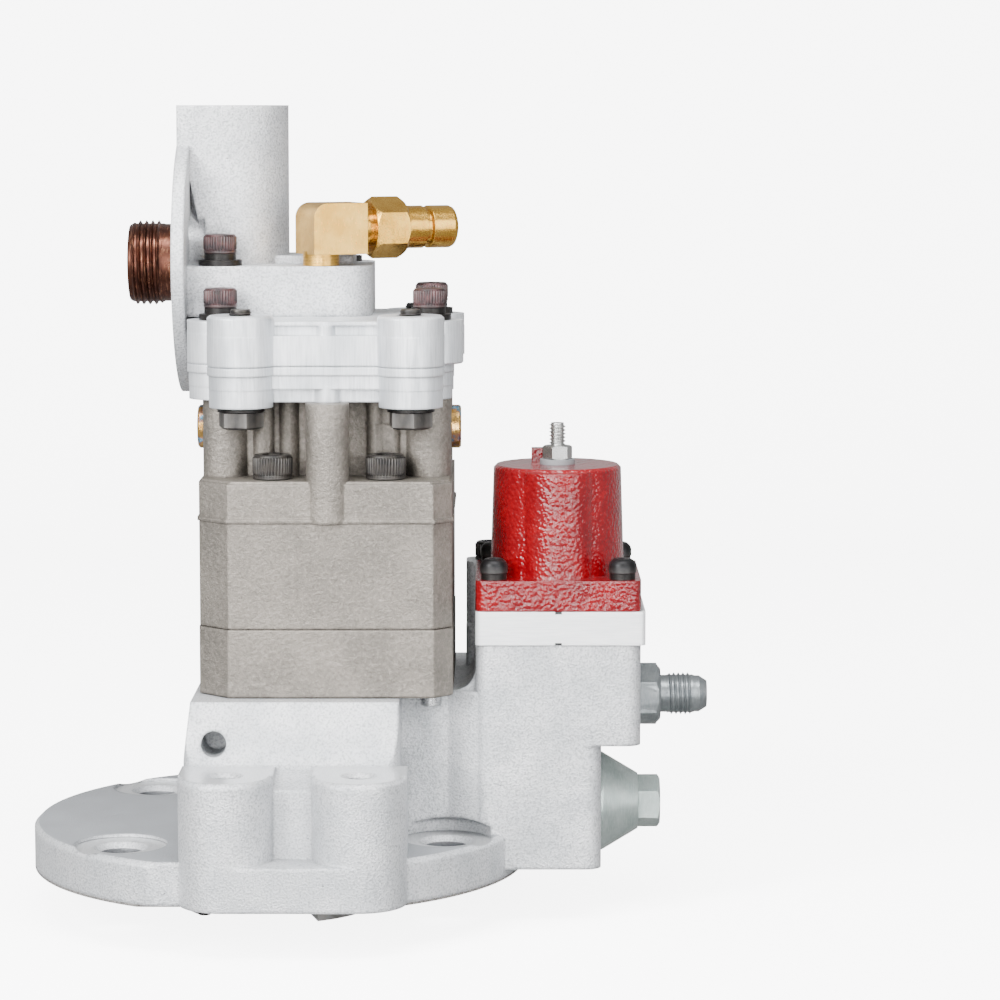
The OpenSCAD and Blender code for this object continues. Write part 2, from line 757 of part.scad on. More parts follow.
// Three jaws hang from a disc with a hub; the spider lies between them
module coupling_half() {
    color(steel) difference() {
        union() {
            rod([0, 0], jaw_root_z, coupling_disc_top, coupling_d / 2);
            rod([0, 0], coupling_disc_top - 1, coupling_hub_top, hub_r);
            translate([0, 0, -jaw_drop]) linear_extrude(jaw_drop + jaw_root_z + 1) jaw_plan();
        }
        rod([0, 0], jaw_root_z - 1, coupling_hub_top + 1, shaft_d / 2);
    }
}

// Six-armed nylon spider between the jaws of the two coupling halves
module coupling_spider() {
    ring_in = 13.5;
    ring_out = 18.5;
    tip_r = coupling_d / 2 - 1.5;
    color("wheat") translate([0, 0, jaw_root_z - spider_t]) linear_extrude(spider_t) difference() {
        union() {
            circle(r = ring_out);
            for (k = [0 : 5]) rotate(jaw_angle + 30 + k * 60) {
                translate([0, -spider_arm_w / 2]) square([tip_r - 3, spider_arm_w]);
                translate([0, -spider_arm_w / 2 + 3]) square([tip_r, spider_arm_w - 6]);
                for (s = [-1, 1]) translate([tip_r - 3, s * (spider_arm_w / 2 - 3)]) circle(r = 3);
            }
        }
        circle(r = ring_in);
    }
}

// Hex head screw and washer that hold the coupling on the shaft
module coupling_screw() {
    color(black_steel) {
        ring([0, 0], jaw_root_z - coupling_washer_t, jaw_root_z, 3, shaft_d / 2 + 2.5);
        rod([0, 0], jaw_root_z - coupling_washer_t - eps, 12, 2.98);
        translate([0, 0, jaw_root_z - coupling_washer_t - 4]) hex_bar(10, 4);
    }
}

// Plan of the damper body: a plate with a round boss at each corner and lugs for the long screws
module damper_plan(left_r, right_r, grow = 0) {
    round_rect(damper_x - 33 - grow, damper_x + 33 + grow, -38 - grow, 38 + grow, 6);
    for (p = damper_boss_places) translate(p) circle(r = damper_boss_d / 2 + grow);
    for (p = damper_screw_places) translate(p) circle(r = grow + (p[0] < damper_x ? left_r : right_r));
}

module damper_holes(z0, z1) {
    rods(damper_boss_places, z0 - 1, z1 + 1, damper_bolt_d / 2 + 0.3);
    rods(damper_screw_places, z0 - 1, z1 + 1, damper_screw_d / 2 + 0.3);
}

// Lower half: seats on the gear pump cover, hollow under the diaphragm
module damper_lower_half() {
    web_z = damper_z + 4.3;
    lip = 0.5;
    lip_t = 2.7;
    color(cast_white) difference() {
        union() {
            translate([0, 0, web_z]) linear_extrude(parting_z - web_z) damper_plan(damper_lug_r, 8, -lip);
            translate([0, 0, parting_z - lip_t]) linear_extrude(lip_t) damper_plan(damper_lug_r, 8);
            round_block(damper_x - 22, damper_x + 23, 0.2 - damper_boss_y, damper_boss_y - 0.2,
                damper_z, web_z + 1, 3);
            rods(damper_screw_places, damper_z, web_z + 1, 7.3);
            rods([for (p = damper_screw_places) if (p[0] < damper_x) p], damper_z + eps, web_z + 1,
                damper_lug_r - lip - 0.1);
            rods([for (s = [-1, 1]) [pump_x + 1, s * 33]], damper_z, web_z + 1, 4.6);
            for (p = damper_boss_places)
                rod(p, damper_z - damper_boss_drop, parting_z - 1, damper_boss_d / 2 - lip - 0.1);
        }
        damper_holes(damper_z - damper_boss_drop, parting_z);
        rod([damper_x, 0], parting_z - damper_cavity_h, parting_z + 1, diaphragm_r - 3);
        rod([damper_x, 0], parting_z - diaphragm_t, parting_z + 1, diaphragm_r);
    }
}

// Upper half: a thick plate, a narrower ribbed pad on it and bosses that rise to the top
module damper_upper_half() {
    plate_t = 10;
    color(cast_white) difference() {
        union() {
            translate([0, 0, parting_z]) linear_extrude(plate_t - 1)
                damper_plan(damper_lug_r, damper_lug_r, -seam);
            translate([0, 0, parting_z + seam]) linear_extrude(plate_t - seam)
                damper_plan(damper_lug_r, damper_lug_r);
            round_block(damper_x - 31, damper_x + 31, -34.4, 34.4, parting_z + 1, foot_z, 4);
            for (s = [-1, 1]) {
                rod([damper_x + 1, s * 33.8], parting_z + 1, foot_z - 1.2, 3);
                translate([damper_x - 24, s > 0 ? 33 : -36, foot_z - 1.4]) cube([48, 3, 1.4]);
            }
            rods(damper_screw_places, parting_z + 1, damper_lug_top, damper_lug_r - 0.1);
            rods(head_screw_places, parting_z + 1, foot_z, 6.5);
            for (p = damper_boss_places) {
                top = p[1] < 0 ? foot_z + damper_boss_rise : foot_z;
                rod(p, parting_z + 1, top - 0.8, damper_boss_d / 2 - 0.1);
                translate([p[0], p[1], top - 0.8])
                    cylinder(r1 = damper_boss_d / 2 - 0.1, r2 = damper_boss_d / 2 - 0.9, h = 0.8);
            }
        }
        damper_holes(parting_z, foot_z + damper_boss_rise);
        rods(damper_screw_places, damper_lug_top, foot_z + 1, 8);
        rod([damper_x, 0], parting_z - 1, parting_z + damper_cavity_h, diaphragm_r - 3);
        rods(head_screw_places, foot_z - 11, foot_z + 1, head_screw_d / 2);
    }
}

// Thin spring steel diaphragm clamped between the two halves
module damper_diaphragm() {
    color(steel) rod([damper_x, 0], parting_z - diaphragm_t, parting_z, diaphragm_r - 0.1);
}

// Hex head bolts from below, whose ends just show on top of the bosses
module damper_clamp_bolts() {
    head_h = 5.6;
    z = damper_z - damper_boss_drop - damper_bolt_washer_t;
    color(black_steel) for (p = damper_boss_places) translate([p[0], p[1], z]) {
        translate([0, 0, -head_h]) hex_bar(damper_bolt_af, head_h);
        cylinder(d = damper_bolt_d - 0.2, h = foot_z + damper_boss_rise + (p[1] < 0 ? 2 : 0) - z);
    }
}

module damper_bolt_washers() {
    z = damper_z - damper_boss_drop;
    color(black_steel) for (p = damper_boss_places)
        ring(p, z - damper_bolt_washer_t, z, damper_bolt_d / 2 + 0.2, 7.7);
}

// Socket head screws that hold the damper on the gear pump
module damper_screws() {
    z = damper_lug_top + washer_t + lock_washer_t;
    color(black_steel) for (p = damper_screw_places) translate([p[0], p[1], z])
        socket_screw(damper_screw_d, cap_head_d, 6.4, z - damper_z + 14);
}

// A flat washer with a split lock washer on it, one pair at a place
module washer_pair(place, z, d, flat_r) {
    ring(place, z, z + washer_t, d / 2 + 0.2, flat_r);
    difference() {
        ring(place, z + washer_t, z + washer_t + lock_washer_t, d / 2 + 0.2, d / 2 + 2.2);
        translate([place[0], place[1] - 0.4, z + washer_t + 0.2]) cube([d, 0.8, lock_washer_t]);
    }
}

module damper_screw_washers() {
    color(black_steel) for (p = damper_screw_places) washer_pair(p, damper_lug_top, damper_screw_d, 7);
}

// Tower of the filter head: round on the right, flat on the left, cut back below its lip
module tower_blank() {
    lip_h = 13;
    left = disc_x;
    rod([tower_x, tower_y], foot_z + 2, tower_top, tower_r);
    translate([0, tower_y + tower_r, 0]) rotate([90, 0, 0]) linear_extrude(2 * tower_r) polygon([
        [tower_x, foot_z + 2], [tower_x, tower_top], [left, tower_top], [left, tower_top - lip_h],
        [left + 2.2, tower_top - lip_h - 1.2], [-25, foot_top + 9], [-25, foot_z + 2]
    ]);
}

// Cast aluminium foot, tower and upright disc that the spin-on filter seals on
module filter_head() {
    color(cast_white) difference() {
        union() {
            round_block(foot_left, 5, foot_front, foot_back, foot_z, foot_top, 1.5);
            round_block(-10, foot_right, foot_front, foot_back, foot_z, foot_top, 10);
            round_block(-6, 25.5, 12, 38, foot_top - 1, foot_top + 2.6, 3);
            tower_blank();
            bar_x(disc_x, disc_x + disc_t, tower_y, disc_z, disc_d / 2);
            translate([disc_x + disc_t - eps, tower_y, disc_z]) rotate([0, 90, 0])
                cylinder(r1 = 24, r2 = 13, h = 13);
        }
        translate([disc_x + disc_t, -50, 0]) cube([120, 120, foot_z]);
        translate([disc_x - 1, tower_y, disc_z]) rotate([0, 90, 0]) difference() {
            cylinder(r = 35.5, h = 2.8);
            translate([0, 0, -1]) cylinder(r = 31.5, h = 6);
        }
        bar_x(disc_x - 1, disc_x + disc_t + 3, tower_y, disc_z, stud_hole_r);
        for (a = [0 : 60 : 300]) translate([disc_x - 1, tower_y, disc_z]) rotate([a, 0, 0])
            translate([0, 0, 24]) rotate([0, 90, 0]) cylinder(r = 4, h = disc_t + 6);
        rods(head_screw_places, foot_z - 1, foot_top + 5, head_screw_d / 2 + 0.3);
        rod(head_screw_places[1], foot_top, foot_top + 5, 8.2);
        rods(damper_boss_places, foot_z - 1, foot_z + 3, damper_bolt_d / 2 + 1);
        rods(damper_screw_places, foot_z - 1, foot_z + 10.5, 7.8);
        rod(elbow_place, foot_top - elbow_leg_depth - 2, foot_top + 1, elbow_leg_r - 0.6);
    }
}

// Hollow copper plated stud that the filter screws onto
module filter_stud() {
    thread_l = 11.5;
    color(copper) translate([disc_x, tower_y, disc_z]) rotate([0, 90, 0]) difference() {
        union() {
            translate([0, 0, -eps]) cylinder(r = stud_hole_r, h = disc_t + 2);
            translate([0, 0, thread_l - stud_reach - 1]) cylinder(r = stud_hole_r, h = stud_reach - thread_l + 2);
            translate([0, 0, 1 - stud_reach]) cylinder(r = stud_d / 2, h = thread_l - 1);
            translate([0, 0, -stud_reach]) cylinder(r1 = stud_d / 2 - 1, r2 = stud_d / 2, h = 1 + eps);
        }
        translate([0, 0, -stud_reach - 1]) cylinder(r = 8.5, h = stud_reach + 30);
    }
}

module head_screws() {
    z = foot_top + washer_t + lock_washer_t;
    color(black_steel) for (p = head_screw_places) translate([p[0], p[1], z])
        socket_screw(head_screw_d, cap_head_d, 6.4, z - foot_z + 9);
}

module head_screw_washers() {
    color(black_steel) for (p = head_screw_places) washer_pair(p, foot_top, head_screw_d, 7.2);
}

// Forged brass elbow screwed upright into the foot, its branch turned to the back right
module brass_elbow() {
    w = elbow_w / 2;
    bend = 5;
    color(brass) translate([elbow_place[0], elbow_place[1], 0]) difference() {
        union() {
            translate([0, 0, foot_top]) cylinder(r = elbow_leg_r, h = elbow_lift + 1);
            translate([0, 0, foot_top - elbow_leg_depth])
                cylinder(r = elbow_leg_r - 0.6, h = elbow_leg_depth + eps);
            rotate(elbow_turn) translate([0, w, elbow_z]) rotate([90, 0, 0]) linear_extrude(elbow_w) {
                translate([-elbow_back, -w]) square([elbow_back + elbow_reach, elbow_w - bend]);
                translate([-elbow_back + bend, -w]) square([elbow_back + elbow_reach - bend, elbow_w]);
                translate([-elbow_back + bend, w - bend]) circle(r = bend);
            }
        }
        translate([0, 0, foot_top - elbow_leg_depth - 1]) cylinder(r = 3.2, h = elbow_leg_depth + elbow_lift + elbow_w / 2);
        rotate(elbow_turn) bar_x(0, elbow_reach + 1, 0, elbow_z, 3.2);
        rotate(elbow_turn) bar_x(elbow_reach - 8, elbow_reach + 1, 0, elbow_z, elbow_bore_r);
    }
}

// Brass quick-connect nipple: thread, hexagon, collar, ball groove and rounded nose
module brass_nipple() {
    x0 = elbow_reach + nipple_neck;
    x1 = x0 + nipple_hex_l;
    color(brass) translate([elbow_place[0], elbow_place[1], elbow_z]) rotate(elbow_turn)
        rotate([0, 90, 0]) difference() {
            union() {
                translate([0, 0, elbow_reach - 7]) cylinder(r = elbow_bore_r, h = 8);
                translate([0, 0, elbow_reach]) cylinder(r = elbow_leg_r, h = nipple_neck + 1);
                intersection() {
                    translate([0, 0, x0]) hex_bar(nipple_af, nipple_hex_l);
                    translate([0, 0, x0]) rotate_extrude() polygon([
                        [0, 0], [nipple_af / 2, 0], [nipple_af / 2 + 2.5, 2.5],
                        [nipple_af / 2 + 2.5, nipple_hex_l - 2.5], [nipple_af / 2, nipple_hex_l], [0, nipple_hex_l]
                    ]);
                }
                translate([0, 0, x1 - eps]) rotate_extrude() polygon([
                    [0, 0], [nipple_r - 0.8, 0], [nipple_r, 0.8], [nipple_r, 7.3], [nipple_r - 1.3, 7.9],
                    [nipple_r - 1.3, 9], [nipple_r, 9.6], [nipple_r, nipple_tail_l - 1.6],
                    [nipple_r - 0.5, nipple_tail_l - 0.5], [nipple_r - 1.4, nipple_tail_l], [0, nipple_tail_l]
                ]);
            }
            translate([0, 0, elbow_reach - 8]) cylinder(r = 3.2, h = 60);
        }
}

// Hard steel ring that the valve disc shuts on
module valve_seat() {
    color(steel) ring([column_x, column_y], chamber_floor, chamber_floor + seat_ring_t, valve_port_r, 10);
}

// Shut-off disc: it lifts off its seat when the coil pulls it up
module valve_disc() {
    color(steel) difference() {
        rod([column_x, column_y], valve_disc_z, valve_disc_z + valve_disc_t, valve_disc_r);
        rod([column_x, column_y], valve_disc_z + valve_disc_t - 1, valve_disc_z + valve_disc_t + 1, 4);
    }
}

// Closed turns of wire on a thin sleeve, along the local Z axis
module coil_spring(length, r, wire, turns) {
    pitch = (length - wire) / turns;
    rotate_extrude() translate([r - wire / 4, 0]) square([wire / 2, length]);
    for (i = [0 : turns]) translate([0, 0, wire / 2 + i * pitch])
        rotate_extrude() translate([r, 0]) circle(d = wire - eps);
}

// Spring that pushes the disc down onto its seat
module valve_spring() {
    z = valve_disc_z + valve_disc_t + 0.05;
    color(steel) translate([column_x, column_y, z]) coil_spring(column_h - z, 10, 1, 4);
}

// Bright aluminium plate between the column and the solenoid
module spacer_plate() {
    lip = 0.6;
    right_lip = 1.4;
    color(cast_white) difference() {
        round_block(column_left - eps, column_right + right_lip, column_front - lip, column_back + lip,
            column_h, can_z, 2);
        rod([column_x, column_y], column_h - 1, can_z + 1, core_r + 0.1);
        rods(solenoid_screw_places, column_h - 1, can_z + 1, solenoid_screw_d / 2 + 0.3);
        for (z = [column_h - 1, can_z - seal_ring_t])
            ring([column_x, column_y], z, z + 1 + seal_ring_t, seal_ring_in, seal_ring_in + 2.5);
        for (z = [column_h - 1, can_z - 0.8])
            translate([column_x - 1.1, column_front - 2, z]) cube([2.2, 3, 1.8]);
    }
}

// Rubber rings in the grooves on both faces of the spacer plate
module spacer_seals() {
    color("black") for (z = [column_h, can_z - seal_ring_t])
        ring([column_x, column_y], z, z + seal_ring_t, seal_ring_in, seal_ring_in + 2.5);
}

// Red painted steel can with a square base and a bulge for the terminal lead at the front
module solenoid_can() {
    taper = 1.1;
    bulge_r = 12.8;
    bulge_y = column_y - can_d / 2 + bulge_r - 3.2;
    wall = 3;
    color(red_paint) difference() {
        union() {
            round_block(column_left, column_right, column_front, column_back, can_z, can_z + can_base_t, 3.5);
            translate([column_x, column_y, can_z + can_base_t - 1]) {
                cylinder(r1 = can_d / 2, r2 = can_d / 2 - taper, h = can_h);
                translate([0, 0, can_h]) cylinder(r1 = can_d / 2 - taper, r2 = can_d / 2 - taper - 1, h = 1);
            }
            translate([column_x, bulge_y, can_z + can_base_t - 1])
                cylinder(r1 = bulge_r, r2 = bulge_r - taper / 2, h = can_h);
            translate([column_x - 8.5, column_y + 7, can_top - 1]) cube([5.5, 4, 5.5]);
        }
        rod([column_x, column_y], can_z - 1, can_top - wall, core_r + 0.1);
        rod([column_x, column_y], can_z + 4, can_top - wall - 2, can_d / 2 - taper - wall);
        rods(solenoid_screw_places, can_z - 1, can_z + can_base_t + 1, solenoid_screw_d / 2 + 0.3);
        rod([column_x, column_y], can_top - wall - 1, can_top + 1, terminal_d / 2 + 1.2);
    }
}

// Soft iron core that pulls the valve disc
module solenoid_core() {
    color(steel) rod([column_x, column_y], core_z, can_top - 4.2, core_r);
}

// Copper winding on its bobbin, round the core
module solenoid_coil() {
    color("orange") ring([column_x, column_y], can_z + 4.2, can_top - 5.2,
        core_r + 0.2, can_d / 2 - 4.6);
}

// Black round head screws at the corners of the solenoid base
module round_head_screw(d, head_d, head_h, length) {
    difference() {
        union() {
            translate([0, 0, -length]) cylinder(d = d, h = length + eps);
            cylinder(d = head_d, h = head_h * 0.55);
            translate([0, 0, head_h * 0.55]) cylinder(d1 = head_d, d2 = head_d * 0.82, h = head_h * 0.3);
            translate([0, 0, head_h * 0.85]) cylinder(d1 = head_d * 0.82, d2 = head_d * 0.5, h = head_h * 0.15);
        }
        translate([0, 0, head_h * 0.5]) hex_bar(d * 0.6, head_h);
    }
}

module solenoid_screws() {
    z = can_z + can_base_t + lock_washer_t;
    color("black") for (p = solenoid_screw_places) translate([p[0], p[1], z])
        round_head_screw(solenoid_screw_d, 9, 4.8, z - column_h + 12);
}

module solenoid_lock_washers() {
    z = can_z + can_base_t;
    color("black") for (p = solenoid_screw_places)
        ring(p, z, z + lock_washer_t, solenoid_screw_d / 2 + 0.15, 4.2);
}

// Grey insulating bush under the terminal nut
module terminal_insulator() {
    color("gray") {
        ring([column_x, column_y], can_top, nut_z, terminal_root_r, 5.8);
        ring([column_x, column_y], can_top - 3, can_top + eps, terminal_root_r, terminal_d / 2 + 1.1);
    }
}

module terminal_stud() {
    top = can_top + 13.7;
    color(steel) {
        rod([column_x, column_y], can_top - 3.8, nut_z + nut_h + eps, terminal_root_r);
        rod([column_x, column_y], nut_z + nut_h, top - 0.6, terminal_d / 2);
        translate([column_x, column_y, top - 0.6])
            cylinder(r1 = terminal_d / 2, r2 = terminal_d / 2 - 0.5, h = 0.6);
    }
}

module terminal_nut() {
    color(steel) translate([column_x, column_y, nut_z]) intersection() {
        difference() {
            rotate(10) hex_bar(8.7, nut_h);
            translate([0, 0, -1]) cylinder(r = terminal_root_r, h = nut_h + 2);
        }
        rotate_extrude() polygon([
            [0, 0], [4.4, 0], [5.1, 0.5], [5.1, nut_h - 0.5], [4.4, nut_h], [0, nut_h]
        ]);
    }
}

// Black socket head screw on the pillar behind the solenoid
module pillar_screw() {
    color("black") translate([pillar_x, pillar_y, pillar_h])
        socket_screw(pillar_screw_d, 10, 6.4, 14);
}

// Steel flare fitting: hexagon, thread and coned nose
module outlet_fitting() {
    hex_l = 7.4;
    thread_start = 9.6;
    thread_end = 18.2;
    nose_end = 22.9;
    r = outlet_thread_d / 2;
    color(zinc) translate([column_right, column_y, outlet_z]) rotate([0, 90, 0]) difference() {
        union() {
            intersection() {
                hex_bar(outlet_af, hex_l);
                rotate_extrude() polygon([
                    [0, 0], [outlet_af / 2 + 1.6, 0], [outlet_af / 2 + 1.6, hex_l - 1.4],
                    [outlet_af / 2 - 0.4, hex_l], [0, hex_l]
                ]);
            }
            translate([0, 0, -8]) cylinder(r = r, h = 8 + eps);
            rotate_extrude() polygon([
                [0, hex_l - 1], [r - 1, hex_l - 1], [r - 1, thread_start], [r, thread_start + 0.8],
                [r, thread_end], [r - 1.1, thread_end + 0.7], [r - 1.1, nose_end - 2.6],
                [r - 3.1, nose_end], [0, nose_end]
            ]);
        }
        translate([0, 0, -9]) cylinder(r = outlet_port_r, h = 40);
    }
}

// Zinc plated cap over the regulator spring: a cone with a hexagon on its end
module regulator_cap() {
    cone_l = 12.8;
    hex_l = 7.4;
    hex_af = 15.5;
    color(zinc) translate([column_lower_right, column_y, regulator_z]) rotate([0, 90, 0]) difference() {
        union() {
            cylinder(r = regulator_d / 2, h = 0.9);
            translate([0, 0, 0.9]) cylinder(r1 = regulator_d / 2, r2 = 9.3, h = cone_l - 0.9);
            translate([0, 0, cone_l - eps]) intersection() {
                hex_bar(hex_af, hex_l);
                rotate_extrude() polygon([
                    [0, 0], [hex_af / 2 + 1.5, 0], [hex_af / 2 + 1.5, hex_l - 1], [hex_af / 2 - 0.2, hex_l], [0, hex_l]
                ]);
            }
            translate([0, 0, -regulator_thread_l]) cylinder(r = regulator_bore_r, h = regulator_thread_l + eps);
        }
        translate([0, 0, -regulator_thread_l - 1]) cylinder(r = plunger_r + 0.5, h = regulator_thread_l + 1 + 9);
    }
}

// Steel plunger that slides against its spring to hold the fuel pressure
module regulator_plunger() {
    color(steel) difference() {
        bar_x(plunger_x, plunger_x + plunger_l, column_y, regulator_z, plunger_r);
        bar_x(plunger_x + plunger_l - 8, plunger_x + plunger_l + 1, column_y, regulator_z, 4.4);
    }
}

// Spring between the plunger and the cap, drawn at its shortest length
module regulator_spring() {
    x0 = plunger_x + plunger_l - 8 + regulator_travel + seat_gap;
    x1 = column_lower_right + 9 - eps;
    color(steel) translate([x0, column_y, regulator_z]) rotate([0, 90, 0])
        coil_spring(x1 - x0, 3.3, 1.1, 8);
}

main_housing();
mounting_gasket();
flange_dowel();
shaft_seal();
bearing_outer_races();
bearing_balls();
bearing_spacer();
gear_pump_base();
gear_pump_body();
gear_pump_cover();
gear_pump_bushings();
gear_pump_dowels();
gear_pump_screws();
side_port_plugs();
drive_shaft();
bearing_inner_races();
drive_gear();
drive_gear_key();
coupling_half();
coupling_spider();
coupling_screw();
driven_shaft();
driven_gear();
damper_lower_half();
damper_upper_half();
damper_diaphragm();
damper_clamp_bolts();
damper_bolt_washers();
damper_screws();
damper_screw_washers();
filter_head();
filter_stud();
head_screws();
head_screw_washers();
brass_elbow();
brass_nipple();
valve_seat();
valve_disc();
valve_spring();
spacer_plate();
spacer_seals();
solenoid_can();
solenoid_core();
solenoid_coil();
solenoid_screws();
solenoid_lock_washers();
terminal_insulator();
terminal_stud();
terminal_nut();
pillar_screw();
outlet_fitting();
regulator_cap();
regulator_plunger();
regulator_spring();
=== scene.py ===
import math

import bpy
import numpy as np
from mathutils import Matrix, Vector


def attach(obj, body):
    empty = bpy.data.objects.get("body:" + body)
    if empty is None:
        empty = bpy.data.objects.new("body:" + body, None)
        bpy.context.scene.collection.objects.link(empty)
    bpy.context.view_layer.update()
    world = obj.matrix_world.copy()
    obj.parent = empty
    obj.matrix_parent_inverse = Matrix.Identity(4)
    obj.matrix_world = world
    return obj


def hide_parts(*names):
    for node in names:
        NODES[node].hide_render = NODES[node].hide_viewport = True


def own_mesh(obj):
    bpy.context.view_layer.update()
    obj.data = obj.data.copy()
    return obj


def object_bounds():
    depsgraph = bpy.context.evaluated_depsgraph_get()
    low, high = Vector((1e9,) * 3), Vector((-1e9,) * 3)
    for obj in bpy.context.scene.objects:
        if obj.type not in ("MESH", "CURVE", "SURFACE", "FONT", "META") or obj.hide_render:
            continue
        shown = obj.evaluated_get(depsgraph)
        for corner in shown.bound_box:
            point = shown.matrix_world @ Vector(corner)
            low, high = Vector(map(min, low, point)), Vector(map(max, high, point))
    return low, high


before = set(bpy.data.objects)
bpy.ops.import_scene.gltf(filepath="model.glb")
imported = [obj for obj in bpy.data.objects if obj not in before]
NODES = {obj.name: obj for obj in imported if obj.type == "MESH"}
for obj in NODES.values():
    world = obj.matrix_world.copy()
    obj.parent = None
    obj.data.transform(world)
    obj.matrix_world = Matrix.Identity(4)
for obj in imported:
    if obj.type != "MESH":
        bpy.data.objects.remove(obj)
cad_box = [list(v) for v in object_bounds()]


# Camera
# The photograph's view: level with the top of the tower and 1.13 m in front of the drive axis,
# through a long lens that keeps upright edges parallel.
eye = Vector((0.074, -1.130, 0.2514))
looked_at = Vector((0.074, 0.0, 0.1207))
camera = bpy.data.objects.new("camera", bpy.data.cameras.new("camera"))
bpy.context.scene.collection.objects.link(camera)
camera.location = eye
camera.rotation_euler = (looked_at - eye).to_track_quat("-Z", "Y").to_euler()
camera.data.sensor_width = 36.0
camera.data.lens = 122.9
camera.data.clip_start = 0.05
camera.data.clip_end = 60.0
bpy.context.scene.camera = camera


# Main housing and filter head
# Sand-cast aluminium, shot-blasted to a pale matte skin. Spot faces and boss tops are turned
# bright after casting, and the flange holes are bored through. Levels and sizes are in millimetres,
# and the flange holes lie inside HOLE_FIELD_R of the drive axis.
MM = 0.001
FLANGE_TOP = 14.0
SPOT_FACE = 12.8
BOSS_TOP = 41.0
COLUMN_TOP = 76.8
HEAD_BASE_TOP = 201.5
TOWER_TOP = 251.4
HOLE_FIELD_R = 74.0


def srgb(code):
    """Linear colour of an sRGB hex code, with alpha 1."""
    v = [int(code[i:i + 2], 16) / 255 for i in (1, 3, 5)]
    return [c / 12.92 if c <= 0.04045 else ((c + 0.055) / 1.055) ** 2.4 for c in v] + [1.0]


def add(nt, kind, sockets=None, out=0, **settings):
    """Adds a shader node with its settings. A socket takes a value, a hex colour or a link.
    Returns the output socket named or numbered by out. Mix holds its two colours in 6 and 7."""
    node = nt.nodes.new("ShaderNode" + kind)
    for key, value in settings.items():
        setattr(node, key, value)
    for key, value in (sockets or {}).items():
        if isinstance(value, bpy.types.NodeSocket):
            nt.links.new(value, node.inputs[key])
        else:
            node.inputs[key].default_value = srgb(value) if isinstance(value, str) else value
    return node.outputs[out] if len(node.outputs) else node


def start_material(name, **sockets):
    """A new material with its node tree, its Principled shader and its object coordinates."""
    mat = bpy.data.materials.new(name)
    mat.use_nodes = True
    nt = mat.node_tree
    nt.nodes.clear()
    surface = add(nt, "BsdfPrincipled", {k.replace("_", " "): v for k, v in sockets.items()})
    add(nt, "OutputMaterial", {0: surface})
    return mat, nt, surface.node, add(nt, "TexCoord", out="Object")


def relief(nt, bsdf, edge, *layers):
    """Rounds edges by edge metres and lays bump layers (height, metres) over them."""
    normal = add(nt, "Bevel", {"Radius": edge}, samples=4)
    for height, depth in layers:
        normal = add(nt, "Bump", {"Height": height, "Distance": depth, "Strength": 1.0,
                                  "Normal": normal})
    nt.links.new(normal, bsdf.inputs["Normal"])


